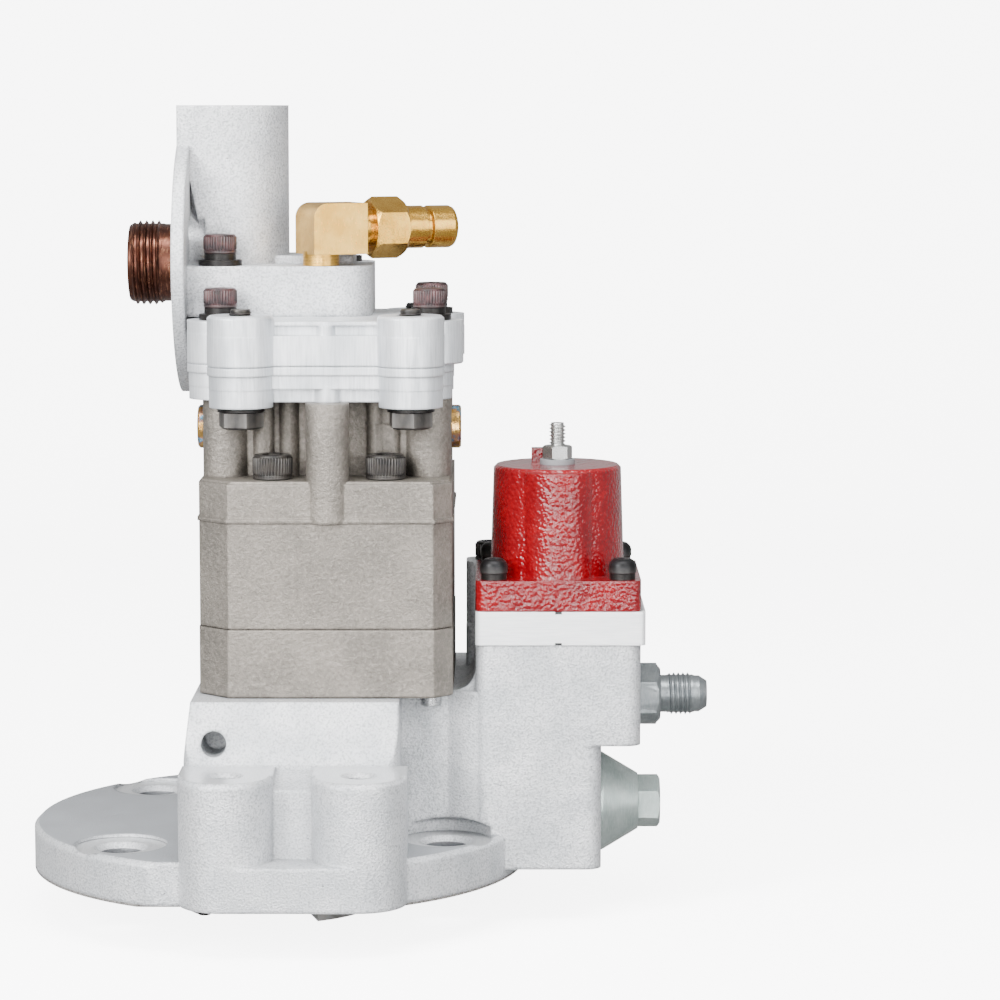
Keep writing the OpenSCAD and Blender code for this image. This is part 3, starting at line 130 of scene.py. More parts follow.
# A shot-blasted casting looks like pale frost: matte, faintly mottled, with a few small pits.
# The grain is drawn 0.7 mm wide, coarser than the real 0.2 mm, so that it shows.
def cast_aluminium(name, pale, dull, turned_levels, flat_level):
    mat, nt, bsdf, co = start_material(name, Metallic=0.55)
    grain = add(nt, "TexNoise", {"Vector": co, "Scale": 1 / (0.7 * MM), "Detail": 4.0,
                                 "Roughness": 0.55})
    mottle = add(nt, "TexNoise", {"Vector": co, "Scale": 1 / (14 * MM), "Detail": 4.0,
                                  "Roughness": 0.55})
    mottled = add(nt, "MapRange", {"Value": mottle, "From Min": 0.35, "From Max": 0.65})
    base = add(nt, "Mix", {0: mottled, 6: pale, 7: dull}, 2, data_type="RGBA")
    grainy = add(nt, "MapRange", {"Value": grain, "From Min": 0.45, "From Max": 0.66, "To Max": 0.65})
    base = add(nt, "Mix", {0: grainy, 6: base, 7: "#8c8f93"}, 2, data_type="RGBA")

    # Sparse pits, 3.4 mm apart where they come in groups.
    cells = add(nt, "TexVoronoi", {"Vector": co, "Scale": 1 / (3.4 * MM)}, "Distance")
    pit = add(nt, "MapRange", {"Value": cells, "From Min": 0.05, "From Max": 0.11, "To Min": 1.0,
                               "To Max": 0.0})
    group = add(nt, "TexNoise", {"Vector": co, "Scale": 1 / (9 * MM), "Detail": 2.0,
                                 "Roughness": 0.55})
    sparse = add(nt, "MapRange", {"Value": group, "From Min": 0.56, "From Max": 0.62})
    pit = add(nt, "Math", {0: pit, 1: sparse}, operation="MULTIPLY")
    pit_shade = add(nt, "Math", {0: pit, 1: 0.6}, operation="MULTIPLY")
    base = add(nt, "Mix", {0: pit_shade, 6: base, 7: "#6f7275"}, 2, data_type="RGBA")

    # Turned faces: level, bright, with the fine lines of the cutter.
    height = add(nt, "SeparateXYZ", {0: co}, "Z")
    facing = add(nt, "NewGeometry", out="Normal")
    up = add(nt, "SeparateXYZ", {0: facing}, "Z")
    level = add(nt, "MapRange", {"Value": up, "From Min": 0.9, "From Max": 0.97})
    at_level = [add(nt, "Math", {0: height, 1: z * MM, 2: 0.15 * MM}, operation="COMPARE")
                for z in turned_levels]
    turned = at_level[0]
    for here in at_level[1:]:
        turned = add(nt, "Math", {0: turned, 1: here}, operation="MAXIMUM")
    turned = add(nt, "Math", {0: turned, 1: level}, operation="MULTIPLY")
    drawn = add(nt, "Mapping", {"Vector": co, "Scale": (1.0, 0.12, 1.0)})
    streak = add(nt, "TexNoise", {"Vector": drawn, "Scale": 1 / (0.5 * MM), "Detail": 2.0,
                                  "Roughness": 0.55})
    cut = add(nt, "Mix", {0: streak, 6: "#b4b6b9", 7: "#e4e5e6"}, 2, data_type="RGBA")
    base = add(nt, "Mix", {0: turned, 6: base, 7: cut}, 2, data_type="RGBA")

    # The flange's broad top is greyer, and the walls of its bored holes are darker still with painted
    # shade.
    flat = add(nt, "Math", {0: height, 1: flat_level * MM, 2: 0.2 * MM}, operation="COMPARE")
    flat = add(nt, "Math", {0: flat, 1: level}, operation="MULTIPLY")
    base = add(nt, "Mix", {0: flat, 6: base, 7: "#a6a9ad"}, 2, data_type="RGBA")
    # Painted shade on the upright walls of the bored holes, inside HOLE_FIELD_R and below the flange
    # top.
    plan = add(nt, "VectorMath", {0: co, 1: (1.0, 1.0, 0.0)}, operation="MULTIPLY")
    radius = add(nt, "VectorMath", {0: plan}, "Value", operation="LENGTH")
    inside = add(nt, "MapRange", {"Value": radius, "From Min": HOLE_FIELD_R * MM,
                                  "From Max": (HOLE_FIELD_R + 0.5) * MM, "To Min": 1.0, "To Max": 0.0})
    below = add(nt, "MapRange", {"Value": height, "From Min": 12.9 * MM, "From Max": 13.1 * MM,
                                 "To Min": 1.0, "To Max": 0.0})
    tilt = add(nt, "Math", {0: up}, operation="ABSOLUTE")
    upright = add(nt, "MapRange", {"Value": tilt, "From Min": 0.3, "From Max": 0.5, "To Min": 1.0,
                                   "To Max": 0.0})
    painted_bore_shade = add(nt, "Math", {0: inside, 1: below}, operation="MULTIPLY")
    painted_bore_shade = add(nt, "Math", {0: painted_bore_shade, 1: upright}, operation="MULTIPLY")
    base = add(nt, "Mix", {0: painted_bore_shade, 6: base, 7: "#7b7d80"}, 2, data_type="RGBA")

    # Painted shade darkens the hollows where other surfaces crowd close.
    painted_hollow_shade = add(nt, "AmbientOcclusion", {"Distance": 16 * MM}, "AO", samples=6)
    painted_hollow_shade = add(nt, "MapRange", {"Value": painted_hollow_shade, "From Min": 0.1, "From Max": 0.7, "To Min": 0.55,
                                  "To Max": 0.0})
    base = add(nt, "Mix", {0: painted_hollow_shade, 6: base, 7: "#55575a"}, 2, data_type="RGBA")
    nt.links.new(base, bsdf.inputs["Base Color"])
    matte = add(nt, "MapRange", {"Value": mottle, "From Min": 0.3, "From Max": 0.7, "To Min": 0.46,
                                 "To Max": 0.6})
    rough = add(nt, "Mix", {0: turned, 2: matte, 3: 0.28})
    nt.links.new(rough, bsdf.inputs["Roughness"])
    skin = add(nt, "Mix", {0: turned, 2: grain, 3: 0.5})
    swell = add(nt, "TexNoise", {"Vector": co, "Scale": 1 / (22 * MM), "Detail": 2.0,
                                 "Roughness": 0.55})
    relief(nt, bsdf, 1.6 * MM, (swell, 0.5 * MM), (skin, 0.26 * MM), (pit, -0.12 * MM))
    return mat


def dress(material, *names):
    """Gives CAD nodes their finish."""
    for n in names:
        NODES[n].data.materials.clear()
        NODES[n].data.materials.append(material)


dress(cast_aluminium("housing_blasted_aluminium", "#dadbdd", "#c5c8cb",
                     (SPOT_FACE, BOSS_TOP, COLUMN_TOP), FLANGE_TOP), "main_housing")
dress(cast_aluminium("filter_head_cast_aluminium", "#e0e1e3", "#cdcfd2",
                     (HEAD_BASE_TOP, TOWER_TOP), 0.0), "filter_head")


# Pulsation damper
# Two cast aluminium halves bolted face to face, and belt-ground all round after casting.
# Grinding leaves fine upright lines that catch the light as soft streaks, drawn 0.55 mm apart.
def ground_aluminium():
    mat, nt, bsdf, co = start_material("damper_ground_aluminium", Metallic=0.5)
    fine = add(nt, "Mapping", {"Vector": co, "Scale": (1.0, 1.0, 0.05)})
    lines = add(nt, "TexNoise", {"Vector": fine, "Scale": 1 / (0.55 * MM), "Detail": 3.0,
                                 "Roughness": 0.6})
    wide = add(nt, "Mapping", {"Vector": co, "Scale": (1.0, 1.0, 0.25)})
    broad = add(nt, "TexNoise", {"Vector": wide, "Scale": 1 / (6 * MM), "Detail": 3.0,
                                 "Roughness": 0.5})
    cloud = add(nt, "TexNoise", {"Vector": co, "Scale": 1 / (18 * MM), "Detail": 3.0,
                                 "Roughness": 0.55})
    banded = add(nt, "MapRange", {"Value": broad, "From Min": 0.35, "From Max": 0.68})
    base = add(nt, "Mix", {0: banded, 6: "#e3e5e8", 7: "#c2c6ca"}, 2, data_type="RGBA")
    lined = add(nt, "MapRange", {"Value": lines, "From Min": 0.42, "From Max": 0.7, "To Max": 0.5})
    base = add(nt, "Mix", {0: lined, 6: base, 7: "#a9adb1"}, 2, data_type="RGBA")
    clouded = add(nt, "MapRange", {"Value": cloud, "From Min": 0.5, "From Max": 0.75, "To Max": 0.4})
    base = add(nt, "Mix", {0: clouded, 6: base, 7: "#eef0f2"}, 2, data_type="RGBA")
    nt.links.new(base, bsdf.inputs["Base Color"])
    rough = add(nt, "MapRange", {"Value": lines, "From Min": 0.3, "From Max": 0.7, "To Min": 0.34,
                                 "To Max": 0.52})
    nt.links.new(rough, bsdf.inputs["Roughness"])
    relief(nt, bsdf, 0.8 * MM, (cloud, 0.25 * MM), (lines, 0.03 * MM))
    return mat


dress(ground_aluminium(), "damper_lower_half", "damper_upper_half")


# Spacer plate
# Milled aluminium plate clamped between the column and the solenoid by the solenoid's screws.
# The cutter leaves faint level lines on a nearly white face, and painted shade turns its two notches
# near black.
def milled_aluminium():
    mat, nt, bsdf, co = start_material("milled_aluminium", Metallic=0.35)
    level = add(nt, "Mapping", {"Vector": co, "Scale": (0.04, 0.04, 1.0)})
    lines = add(nt, "TexNoise", {"Vector": level, "Scale": 1 / (0.35 * MM), "Detail": 2.0,
                                 "Roughness": 0.5})
    cloud = add(nt, "TexNoise", {"Vector": co, "Scale": 1 / (12 * MM), "Detail": 3.0,
                                 "Roughness": 0.55})
    lined = add(nt, "MapRange", {"Value": lines, "From Min": 0.35, "From Max": 0.65})
    base = add(nt, "Mix", {0: lined, 6: "#f4f5f6", 7: "#e6e8ea"}, 2, data_type="RGBA")
    clouded = add(nt, "MapRange", {"Value": cloud, "From Min": 0.45, "From Max": 0.7, "To Max": 0.3})
    base = add(nt, "Mix", {0: clouded, 6: base, 7: "#f2f3f4"}, 2, data_type="RGBA")
    # Painted shade: the notches and other tight recesses go near black.
    painted_notch_shade = add(nt, "AmbientOcclusion", {"Distance": 2.5 * MM}, "AO", samples=6)
    painted_notch_shade = add(nt, "MapRange", {"Value": painted_notch_shade, "From Min": 0.45, "From Max": 0.8, "To Min": 0.95,
                                 "To Max": 0.0})
    base = add(nt, "Mix", {0: painted_notch_shade, 6: base, 7: "#0c0c0d"}, 2, data_type="RGBA")
    nt.links.new(base, bsdf.inputs["Base Color"])
    rough = add(nt, "MapRange", {"Value": lines, "From Min": 0.3, "From Max": 0.7, "To Min": 0.3,
                                 "To Max": 0.42})
    nt.links.new(rough, bsdf.inputs["Roughness"])
    relief(nt, bsdf, 0.4 * MM, (lines, 0.015 * MM))
    return mat


dress(milled_aluminium(), "spacer_plate")


# Gear pump castings
# Base, gear case and cover are sand-cast iron, machined only where they meet, and clamped by screws.
# The open grain gives a warm grey, rough skin. It is drawn 1.35 mm wide, coarser than real sand.
def sand_cast_iron():
    mat, nt, bsdf, co = start_material("sand_cast_pump_metal", Metallic=0.8)
    coarse = add(nt, "TexNoise", {"Vector": co, "Scale": 1 / (1.35 * MM), "Detail": 5.0,
                                  "Roughness": 0.7})
    fine = add(nt, "TexNoise", {"Vector": co, "Scale": 1 / (0.45 * MM), "Detail": 3.0,
                                "Roughness": 0.6})
    cloud = add(nt, "TexNoise", {"Vector": co, "Scale": 1 / (16 * MM), "Detail": 4.0,
                                 "Roughness": 0.55})
    clouded = add(nt, "MapRange", {"Value": cloud, "From Min": 0.35, "From Max": 0.65})
    base = add(nt, "Mix", {0: clouded, 6: "#8b857d", 7: "#7a756e"}, 2, data_type="RGBA")
    crest = add(nt, "MapRange", {"Value": coarse, "From Min": 0.5, "From Max": 0.7, "To Max": 0.45})
    base = add(nt, "Mix", {0: crest, 6: base, 7: "#aaa49b"}, 2, data_type="RGBA")
    dip = add(nt, "MapRange", {"Value": coarse, "From Min": 0.46, "From Max": 0.3, "To Max": 0.4})
    base = add(nt, "Mix", {0: dip, 6: base, 7: "#57534e"}, 2, data_type="RGBA")
    # Painted shade darkens the hollows where other surfaces crowd close.
    painted_hollow_shade = add(nt, "AmbientOcclusion", {"Distance": 8 * MM}, "AO", samples=6)
    painted_hollow_shade = add(nt, "MapRange", {"Value": painted_hollow_shade, "From Min": 0.1, "From Max": 0.65, "To Min": 0.75,
                                  "To Max": 0.0})
    base = add(nt, "Mix", {0: painted_hollow_shade, 6: base, 7: "#24211e"}, 2, data_type="RGBA")
    nt.links.new(base, bsdf.inputs["Base Color"])
    rough = add(nt, "MapRange", {"Value": fine, "From Min": 0.3, "From Max": 0.7, "To Min": 0.42,
                                 "To Max": 0.62})
    nt.links.new(rough, bsdf.inputs["Roughness"])
    relief(nt, bsdf, 1.0 * MM, (cloud, 0.3 * MM), (coarse, 0.4 * MM), (fine, 0.08 * MM))
    return mat


dress(sand_cast_iron(), "gear_pump_base", "gear_pump_body", "gear_pump_cover")


# Socket head screws and washers
# Forged alloy steel cap screws with knurled heads and hexagon sockets, heat-blackened in oil.
# They clamp the gear pump, the damper, the filter head and the rear pillar.
PUMP_SCREWS = [(0.4, -31.5), (37.0, -31.5), (0.4, 31.5), (37.0, 31.5)]
PUMP_SCREW_SEAT = 131.3
DAMPER_SCREWS = [(-17.1, -18), (-17.1, 18), (51.1, -18), (51.1, 18)]
DAMPER_SCREW_SEAT = 185.9
HEAD_SCREWS = [(-18.3, -2.5), (20.0, 31.0)]
HEAD_SCREW_SEAT = 202.8
PILLAR_SCREW = (70.5, 30)
PILLAR_SCREW_SEAT = 96.8
SHARP_FROM = math.radians(32)


def loft(rings, n=72, closed=False):
    """Vertices and faces of a lathe shape. A ring is (z, r), with r a number or one value per angle."""
    angle = np.arange(n) * 2 * math.pi / n
    verts = []
    for z, r in rings:
        r = np.broadcast_to(np.asarray(r, float), (n,))
        z = np.broadcast_to(np.asarray(z, float), (n,))
        verts.append(np.stack([r * np.cos(angle), r * np.sin(angle), z], 1))
    faces = []
    count = len(rings)
    for i in range(count if closed else count - 1):
        a = i * n
        b = (i + 1) % count * n
        faces += [(a + j, a + (j + 1) % n, b + (j + 1) % n, b + j) for j in range(n)]
    if not closed:
        faces.append(tuple(range(n))[::-1])
        faces.append(tuple((count - 1) * n + j for j in range(n)))
    return np.concatenate(verts), faces


def hexagon(across_flats, n=72):
    """Radius of a hexagon at each of n angles."""
    angle = np.arange(n) * 2 * math.pi / n
    return across_flats / 2 / np.cos((angle + math.pi / 6) % (math.pi / 3) - math.pi / 6)


def make_piece(name, shapes, material, body, replaces=()):
    """One mesh from (shape, matrix) pairs in millimetres, riding on a CAD body."""
    verts, faces, start = [], [], 0
    for (v, f), m in shapes:
        m = np.array(m)
        verts.append((v @ m[:3, :3].T + m[:3, 3]) * MM)
        faces += [tuple(start + i for i in face) for face in f]
        start += len(v)
    mesh = bpy.data.meshes.new(name)
    mesh.from_pydata(np.concatenate(verts).tolist(), [], faces)
    mesh.polygons.foreach_set("use_smooth", [True] * len(mesh.polygons))
    mesh.set_sharp_from_angle(angle=SHARP_FROM)
    mesh.materials.append(material)
    piece = bpy.data.objects.new(name, mesh)
    bpy.context.scene.collection.objects.link(piece)
    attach(piece, body)
    if replaces:
        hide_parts(*replaces)
    return piece


def at(x, y, z, turn=0.0):
    """A place in millimetres, turned about the upright axis."""
    return Matrix.Translation((x, y, z)) @ Matrix.Rotation(turn, 4, "Z")


def cap_screw(d, head_d, head_h, length, ribs=36):
    """Shank, straight-knurled head between two smooth bands, chamfered rim and hexagon socket."""
    n = ribs * 6
    r = head_d / 2
    angle = np.arange(n) * 2 * math.pi / n
    knurl = r - 0.035 * head_d * np.abs(np.sin(ribs * angle / 2)) ** 1.5
    socket = hexagon(0.8 * d, n)
    socket_floor = 0.45 * head_h
    return loft([
        (-length, d / 2 - 0.3), (-length + 0.4, d / 2), (0.0, d / 2), (0.0, r - 0.5), (0.35, r - 0.1),
        (0.16 * head_h, r - 0.05), (0.2 * head_h, r - 0.3), (0.24 * head_h, knurl),
        (0.86 * head_h, knurl), (0.9 * head_h, r - 0.35), (0.97 * head_h, r - 0.55), (head_h, r - 0.95),
        (head_h, socket + 0.35), (head_h - 0.3, socket), (socket_floor, socket),
        (socket_floor - 0.5, 0.3),
    ], n)


# Black oxide is a thin dark film with a low sheen. It turns plum brown where the bath was strong,
# and wears to grey steel on the knurl and the rims, by worn from 0 to 1.
def black_oxide(name, dark, tint, tinted, worn=0.6):
    mat, nt, bsdf, co = start_material(name, Metallic=0.6)
    cloud = add(nt, "TexNoise", {"Vector": co, "Scale": 1 / (3.0 * MM), "Detail": 3.0,
                                 "Roughness": 0.55})
    scuff = add(nt, "TexNoise", {"Vector": co, "Scale": 1 / (0.5 * MM), "Detail": 4.0,
                                 "Roughness": 0.7})
    clouded = add(nt, "MapRange", {"Value": cloud, "From Min": 0.35, "From Max": 0.65,
                                   "To Max": tinted})
    base = add(nt, "Mix", {0: clouded, 6: dark, 7: tint}, 2, data_type="RGBA")
    scuffed = add(nt, "MapRange", {"Value": scuff, "From Min": 0.58, "From Max": 0.75,
                                   "To Max": 0.35})
    base = add(nt, "Mix", {0: scuffed, 6: base, 7: "#5d5b5a"}, 2, data_type="RGBA")
    if worn:
        edge = add(nt, "NewGeometry", out="Pointiness")
        edge = add(nt, "MapRange", {"Value": edge, "From Min": 0.53, "From Max": 0.62,
                                    "To Max": worn})
        base = add(nt, "Mix", {0: edge, 6: base, 7: "#8a8784"}, 2, data_type="RGBA")
    nt.links.new(base, bsdf.inputs["Base Color"])
    rough = add(nt, "MapRange", {"Value": scuff, "From Min": 0.3, "From Max": 0.7, "To Min": 0.32,
                                 "To Max": 0.5})
    nt.links.new(rough, bsdf.inputs["Roughness"])
    relief(nt, bsdf, 0.2 * MM, (scuff, 0.02 * MM))
    return mat


plum_oxide = black_oxide("plum_tinted_oxide", "#2c2426", "#5a3c3d", 0.85)
brown_oxide = black_oxide("black_oxide", "#1e1d1d", "#38342f", 0.8)
jet_oxide = black_oxide("jet_black_oxide", "#0d0d0e", "#1b1b1e", 0.6)
washer_oxide = black_oxide("washer_black_oxide", "#161515", "#2b2826", 0.7, 0.0)
make_piece("gear_pump_screws_knurled", [(cap_screw(8, 13, 8, 86.3, 40), at(x, y, PUMP_SCREW_SEAT, x))
                                        for x, y in PUMP_SCREWS],
           brown_oxide, "pump_body", ["gear_pump_screws"])
make_piece("damper_screws_knurled", [(cap_screw(6, 11, 6.4, 43.5), at(x, y, DAMPER_SCREW_SEAT, x))
                                     for x, y in DAMPER_SCREWS],
           plum_oxide, "pump_body", ["damper_screws"])
make_piece("head_screws_knurled", [(cap_screw(6, 11, 6.4, 29.4), at(x, y, HEAD_SCREW_SEAT, x))
                                   for x, y in HEAD_SCREWS],
           plum_oxide, "pump_body", ["head_screws"])
make_piece("pillar_screw_knurled", [(cap_screw(6, 10, 6.4, 14), at(*PILLAR_SCREW, PILLAR_SCREW_SEAT))],
           jet_oxide, "pump_body", ["pillar_screw"])
dress(washer_oxide, "damper_screw_washers", "head_screw_washers", "damper_bolt_washers",
      "coupling_screw", "flange_dowel")


# Damper clamp bolts
# Forged hexagon bolts in black oxide, put in from below. Their rolled thread ends show on top.
# The front pair is 2 mm longer than the rear pair.
BOLT_X = (-9.3, 45.3)
BOLT_Y = (-35, 35)
BOLT_SEAT = 153.5
FRONT_LENGTH = 32.9
REAR_LENGTH = 30.9


def threads(z0, z1, pitch, r, depth, n=72, taper=0.7):
    """Rings of a helical thread from z0 to z1, fading out over taper pitches at both ends."""
    angle = np.arange(n) / n
    rings = []
    steps = max(8, int(round((z1 - z0) / pitch * 8)))
    for i in range(steps + 1):
        z = z0 + (z1 - z0) * i / steps
        phase = (z / pitch - angle) % 1.0
        crest = np.clip((0.5 - np.abs(phase - 0.5)) * 2.9 - 0.55, 0, 1)
        fade = min(1.0, min(z - z0, z1 - z) / (taper * pitch))
        rings.append((z, r - depth + depth * crest * fade))
    return rings


def hex_bolt(across_flats, head_h, d, length, n=72):
    """Chamfered hexagon head below z 0 with a round bearing face, and a shank with a threaded end."""
    flats = hexagon(across_flats, n)
    chamfer = np.minimum(flats, across_flats / 2 + 0.25)
    bearing = np.minimum(flats, across_flats / 2)
    return loft([(-head_h, chamfer - 0.75), (-head_h + 0.7, flats), (-0.25, flats), (-0.2, bearing),
                 (0.0, across_flats / 2 - 0.1), (0.0, d / 2), (length - 6, d / 2)]
                + threads(length - 5.9, length - 0.5, 1.25, d / 2, 0.6, n)
                + [(length, d / 2 - 0.9)], n)


make_piece("damper_clamp_bolts_threaded", [
    (hex_bolt(13, 5.6, 7.8, FRONT_LENGTH if y < 0 else REAR_LENGTH),
     at(x, y, BOLT_SEAT, 0.3 + 0.9 * (x > 0)))
    for x in BOLT_X for y in BOLT_Y],
    brown_oxide, "pump_body", ["damper_clamp_bolts"])


# Filter stud
# Hollow steel stud, screwed into the filter head, with a coarse rolled thread for the filter.
STUD_START = (-33, 23.6, 198.7)
STUD_BORE = 8.5


# A thin copper flash gives a dark, oily brown that rubs to bright copper along the thread.
def copper_plate():
    mat, nt, bsdf, co = start_material("dark_copper_plate", Metallic=0.9)
    cloud = add(nt, "TexNoise", {"Vector": co, "Scale": 1 / (3.5 * MM), "Detail": 3.0,
                                 "Roughness": 0.55})
    along_axis = add(nt, "Mapping", {"Vector": co, "Scale": (1.0, 0.2, 0.2)})
    rub = add(nt, "TexNoise", {"Vector": along_axis, "Scale": 1 / (0.6 * MM), "Detail": 3.0,
                               "Roughness": 0.6})
    clouded = add(nt, "MapRange", {"Value": cloud, "From Min": 0.3, "From Max": 0.7})
    base = add(nt, "Mix", {0: clouded, 6: "#5f3a2d", 7: "#402720"}, 2, data_type="RGBA")
    rubbed = add(nt, "MapRange", {"Value": rub, "From Min": 0.55, "From Max": 0.75, "To Max": 0.6})
    base = add(nt, "Mix", {0: rubbed, 6: base, 7: "#b98467"}, 2, data_type="RGBA")
    nt.links.new(base, bsdf.inputs["Base Color"])
    rough = add(nt, "MapRange", {"Value": cloud, "From Min": 0.3, "From Max": 0.7, "To Min": 0.26,
                                 "To Max": 0.4})
    nt.links.new(rough, bsdf.inputs["Roughness"])
    relief(nt, bsdf, 0.2 * MM, (rub, 0.02 * MM))
    return mat


def along(place, direction):
    """Local +Z laid along a direction, from a place in millimetres."""
    turn = Vector(direction).to_track_quat("Z", "Y").to_matrix().to_4x4()
    return Matrix.Translation(place) @ turn


stud = loft([(-6.2, 13.0), (6.0, 13.0), (6.05, 13.0)] + threads(6.1, 16.6, 2.1, 14.4, 1.25, 96)
            + [(17.5, 12.6), (17.5, 9.2), (17.0, STUD_BORE), (-6.2, STUD_BORE)], 96, closed=True)
make_piece("filter_stud_threaded", [(stud, along(STUD_START, (-1, 0, 0)))], copper_plate(),
           "pump_body", ["filter_stud"])


# Brass elbow and nipple
# A forged 90 degree elbow with ground faces, screwed into the filter head on a fine thread, and a
# turned quick-connect nipple in its branch, which points right and 25 degrees to the back.
ELBOW_X = 15
ELBOW_Y = -2.5
BRANCH_Z = 211.1
BRANCH_TURN = math.radians(25)


# Bare brass is bright yellow with soft brown lines left by grinding or by the lathe.
def brass(name, bright, deep, stretch, rough_from):
    mat, nt, bsdf, co = start_material(name, Metallic=0.95)
    worked = add(nt, "Mapping", {"Vector": co, "Scale": stretch})
    lines = add(nt, "TexNoise", {"Vector": worked, "Scale": 1 / (0.4 * MM), "Detail": 3.0,
                                 "Roughness": 0.6})
    cloud = add(nt, "TexNoise", {"Vector": co, "Scale": 1 / (7 * MM), "Detail": 3.0,
                                 "Roughness": 0.55})
    clouded = add(nt, "MapRange", {"Value": cloud, "From Min": 0.35, "From Max": 0.65})
    base = add(nt, "Mix", {0: clouded, 6: bright, 7: deep}, 2, data_type="RGBA")
    lined = add(nt, "MapRange", {"Value": lines, "From Min": 0.55, "From Max": 0.75, "To Max": 0.4})
    base = add(nt, "Mix", {0: lined, 6: base, 7: "#8f7038"}, 2, data_type="RGBA")
    nt.links.new(base, bsdf.inputs["Base Color"])
    rough = add(nt, "MapRange", {"Value": lines, "From Min": 0.3, "From Max": 0.7,
                                 "To Min": rough_from, "To Max": rough_from + 0.14})
    nt.links.new(rough, bsdf.inputs["Roughness"])
    relief(nt, bsdf, 0.35 * MM, (cloud, 0.06 * MM), (lines, 0.015 * MM))
    return mat


turned_brass = brass("turned_brass", "#d6a850", "#c0903a", (1.0, 1.0, 1.0), 0.18)
dress(brass("forged_brass", "#dcb25e", "#cb9c47", (1.0, 1.0, 0.2), 0.26), "brass_elbow")
dress(turned_brass, "brass_nipple")
branch = (math.cos(BRANCH_TURN), math.sin(BRANCH_TURN), 0)
leg = loft(threads(198.95, 202.7, 1.05, 6.15, 0.55, 72, 0.3), 72)
neck = loft(threads(13.35, 16.75, 0.95, 6.1, 0.5, 72, 0.3), 72)
make_piece("elbow_threads", [(leg, at(ELBOW_X, ELBOW_Y, 0)),
                             (neck, along((ELBOW_X, ELBOW_Y, BRANCH_Z), branch))],
           turned_brass, "pump_body")


# Outlet fitting and regulator cap
# Both are turned steel, zinc plated, and screwed into the column's right side. The fitting has an
# 18 mm hexagon, a flare thread and a coned nose, and the cap closes the regulator's spring chamber.
FITTING_START = (120, -5, 56.3)
FITTING_FLATS = 18
FITTING_BORE = 4.0
THREAD_R = 7.15
FITTING_SIDES = 96


# Zinc plate is a satin blue grey, paler where the layer is thick, with faint lines of the lathe.
def zinc_plate(name, light, deep, line_tone):
    mat, nt, bsdf, co = start_material(name, Metallic=0.75)
    cloud = add(nt, "TexNoise", {"Vector": co, "Scale": 1 / (5 * MM), "Detail": 3.0,
                                 "Roughness": 0.55})
    turned = add(nt, "Mapping", {"Vector": co, "Scale": (1.0, 0.15, 0.15)})
    lines = add(nt, "TexNoise", {"Vector": turned, "Scale": 1 / (0.35 * MM), "Detail": 2.0,
                                 "Roughness": 0.5})
    clouded = add(nt, "MapRange", {"Value": cloud, "From Min": 0.35, "From Max": 0.65})
    base = add(nt, "Mix", {0: clouded, 6: light, 7: deep}, 2, data_type="RGBA")
    lined = add(nt, "MapRange", {"Value": lines, "From Min": 0.5, "From Max": 0.75, "To Max": 0.35})
    base = add(nt, "Mix", {0: lined, 6: base, 7: line_tone}, 2, data_type="RGBA")
    nt.links.new(base, bsdf.inputs["Base Color"])
    rough = add(nt, "MapRange", {"Value": cloud, "From Min": 0.3, "From Max": 0.7, "To Min": 0.3,
                                 "To Max": 0.42})
    nt.links.new(rough, bsdf.inputs["Roughness"])
    relief(nt, bsdf, 0.4 * MM, (lines, 0.012 * MM))
    return mat


dress(zinc_plate("pale_zinc_plate", "#b9c4c1", "#a5b2af", "#d9e2df"), "regulator_cap")
flats = hexagon(FITTING_FLATS, FITTING_SIDES)
fitting = loft([(-8.0, FITTING_BORE), (-8.0, THREAD_R), (0.0, THREAD_R), (0.0, 8.9), (0.05, flats),
                (6.0, flats), (6.7, np.minimum(flats, 9.2)), (7.4, np.minimum(flats, 8.4)),
                (7.4, 6.2), (9.5, 6.2)]
               + threads(9.6, 18.2, 1.55, THREAD_R, 0.85, FITTING_SIDES)
               + [(18.9, 6.05), (20.3, 6.05), (22.9, 4.4), (22.9, FITTING_BORE)],
               FITTING_SIDES, closed=True)
make_piece("outlet_fitting_threaded", [(fitting, along(FITTING_START, (1, 0, 0)))],
           zinc_plate("grey_zinc_plate", "#8b9092", "#757a7d", "#adb2b4"),
           "pump_body", ["outlet_fitting"])


# Side port plugs
# Turned steel plugs, screwed into both sides of the gear pump cover, under yellow chromate.
# The film shifts from straw to pink, blue and violet as it thickens, in patches about 5 mm wide.
def yellow_chromate():
    mat, nt, bsdf, co = start_material("yellow_chromate", Metallic=0.9, Roughness=0.25)
    film = add(nt, "TexNoise", {"Vector": co, "Scale": 1 / (5 * MM), "Detail": 2.0,
                                "Roughness": 0.55})
    film = add(nt, "MapRange", {"Value": film, "From Min": 0.3, "From Max": 0.7})
    tints = add(nt, "ValToRGB", {"Fac": film})
    stops = [(0.0, "#9c7440"), (0.35, "#c8a25e"), (0.55, "#b98a72"), (0.7, "#5e9fc0"), (1.0, "#c6a050")]
    ramp = tints.node.color_ramp
    while len(ramp.elements) < len(stops):
        ramp.elements.new(0.5)
    for element, (place, code) in zip(ramp.elements, stops):
        element.position = place
        element.color = srgb(code)
    nt.links.new(tints, bsdf.inputs["Base Color"])
    grain = add(nt, "TexNoise", {"Vector": co, "Scale": 1 / (0.5 * MM), "Detail": 3.0,
                                 "Roughness": 0.55})
    relief(nt, bsdf, 0.3 * MM, (grain, 0.02 * MM))
    return mat


dress(yellow_chromate(), "side_port_plugs")


# Solenoid
# A drawn steel can on a square steel base, held by four black button screws with lock washers.
SOLENOID_X = 93
SOLENOID_Y = -5
SCREW_SPACING = 21
SCREW_SEAT = 99.8


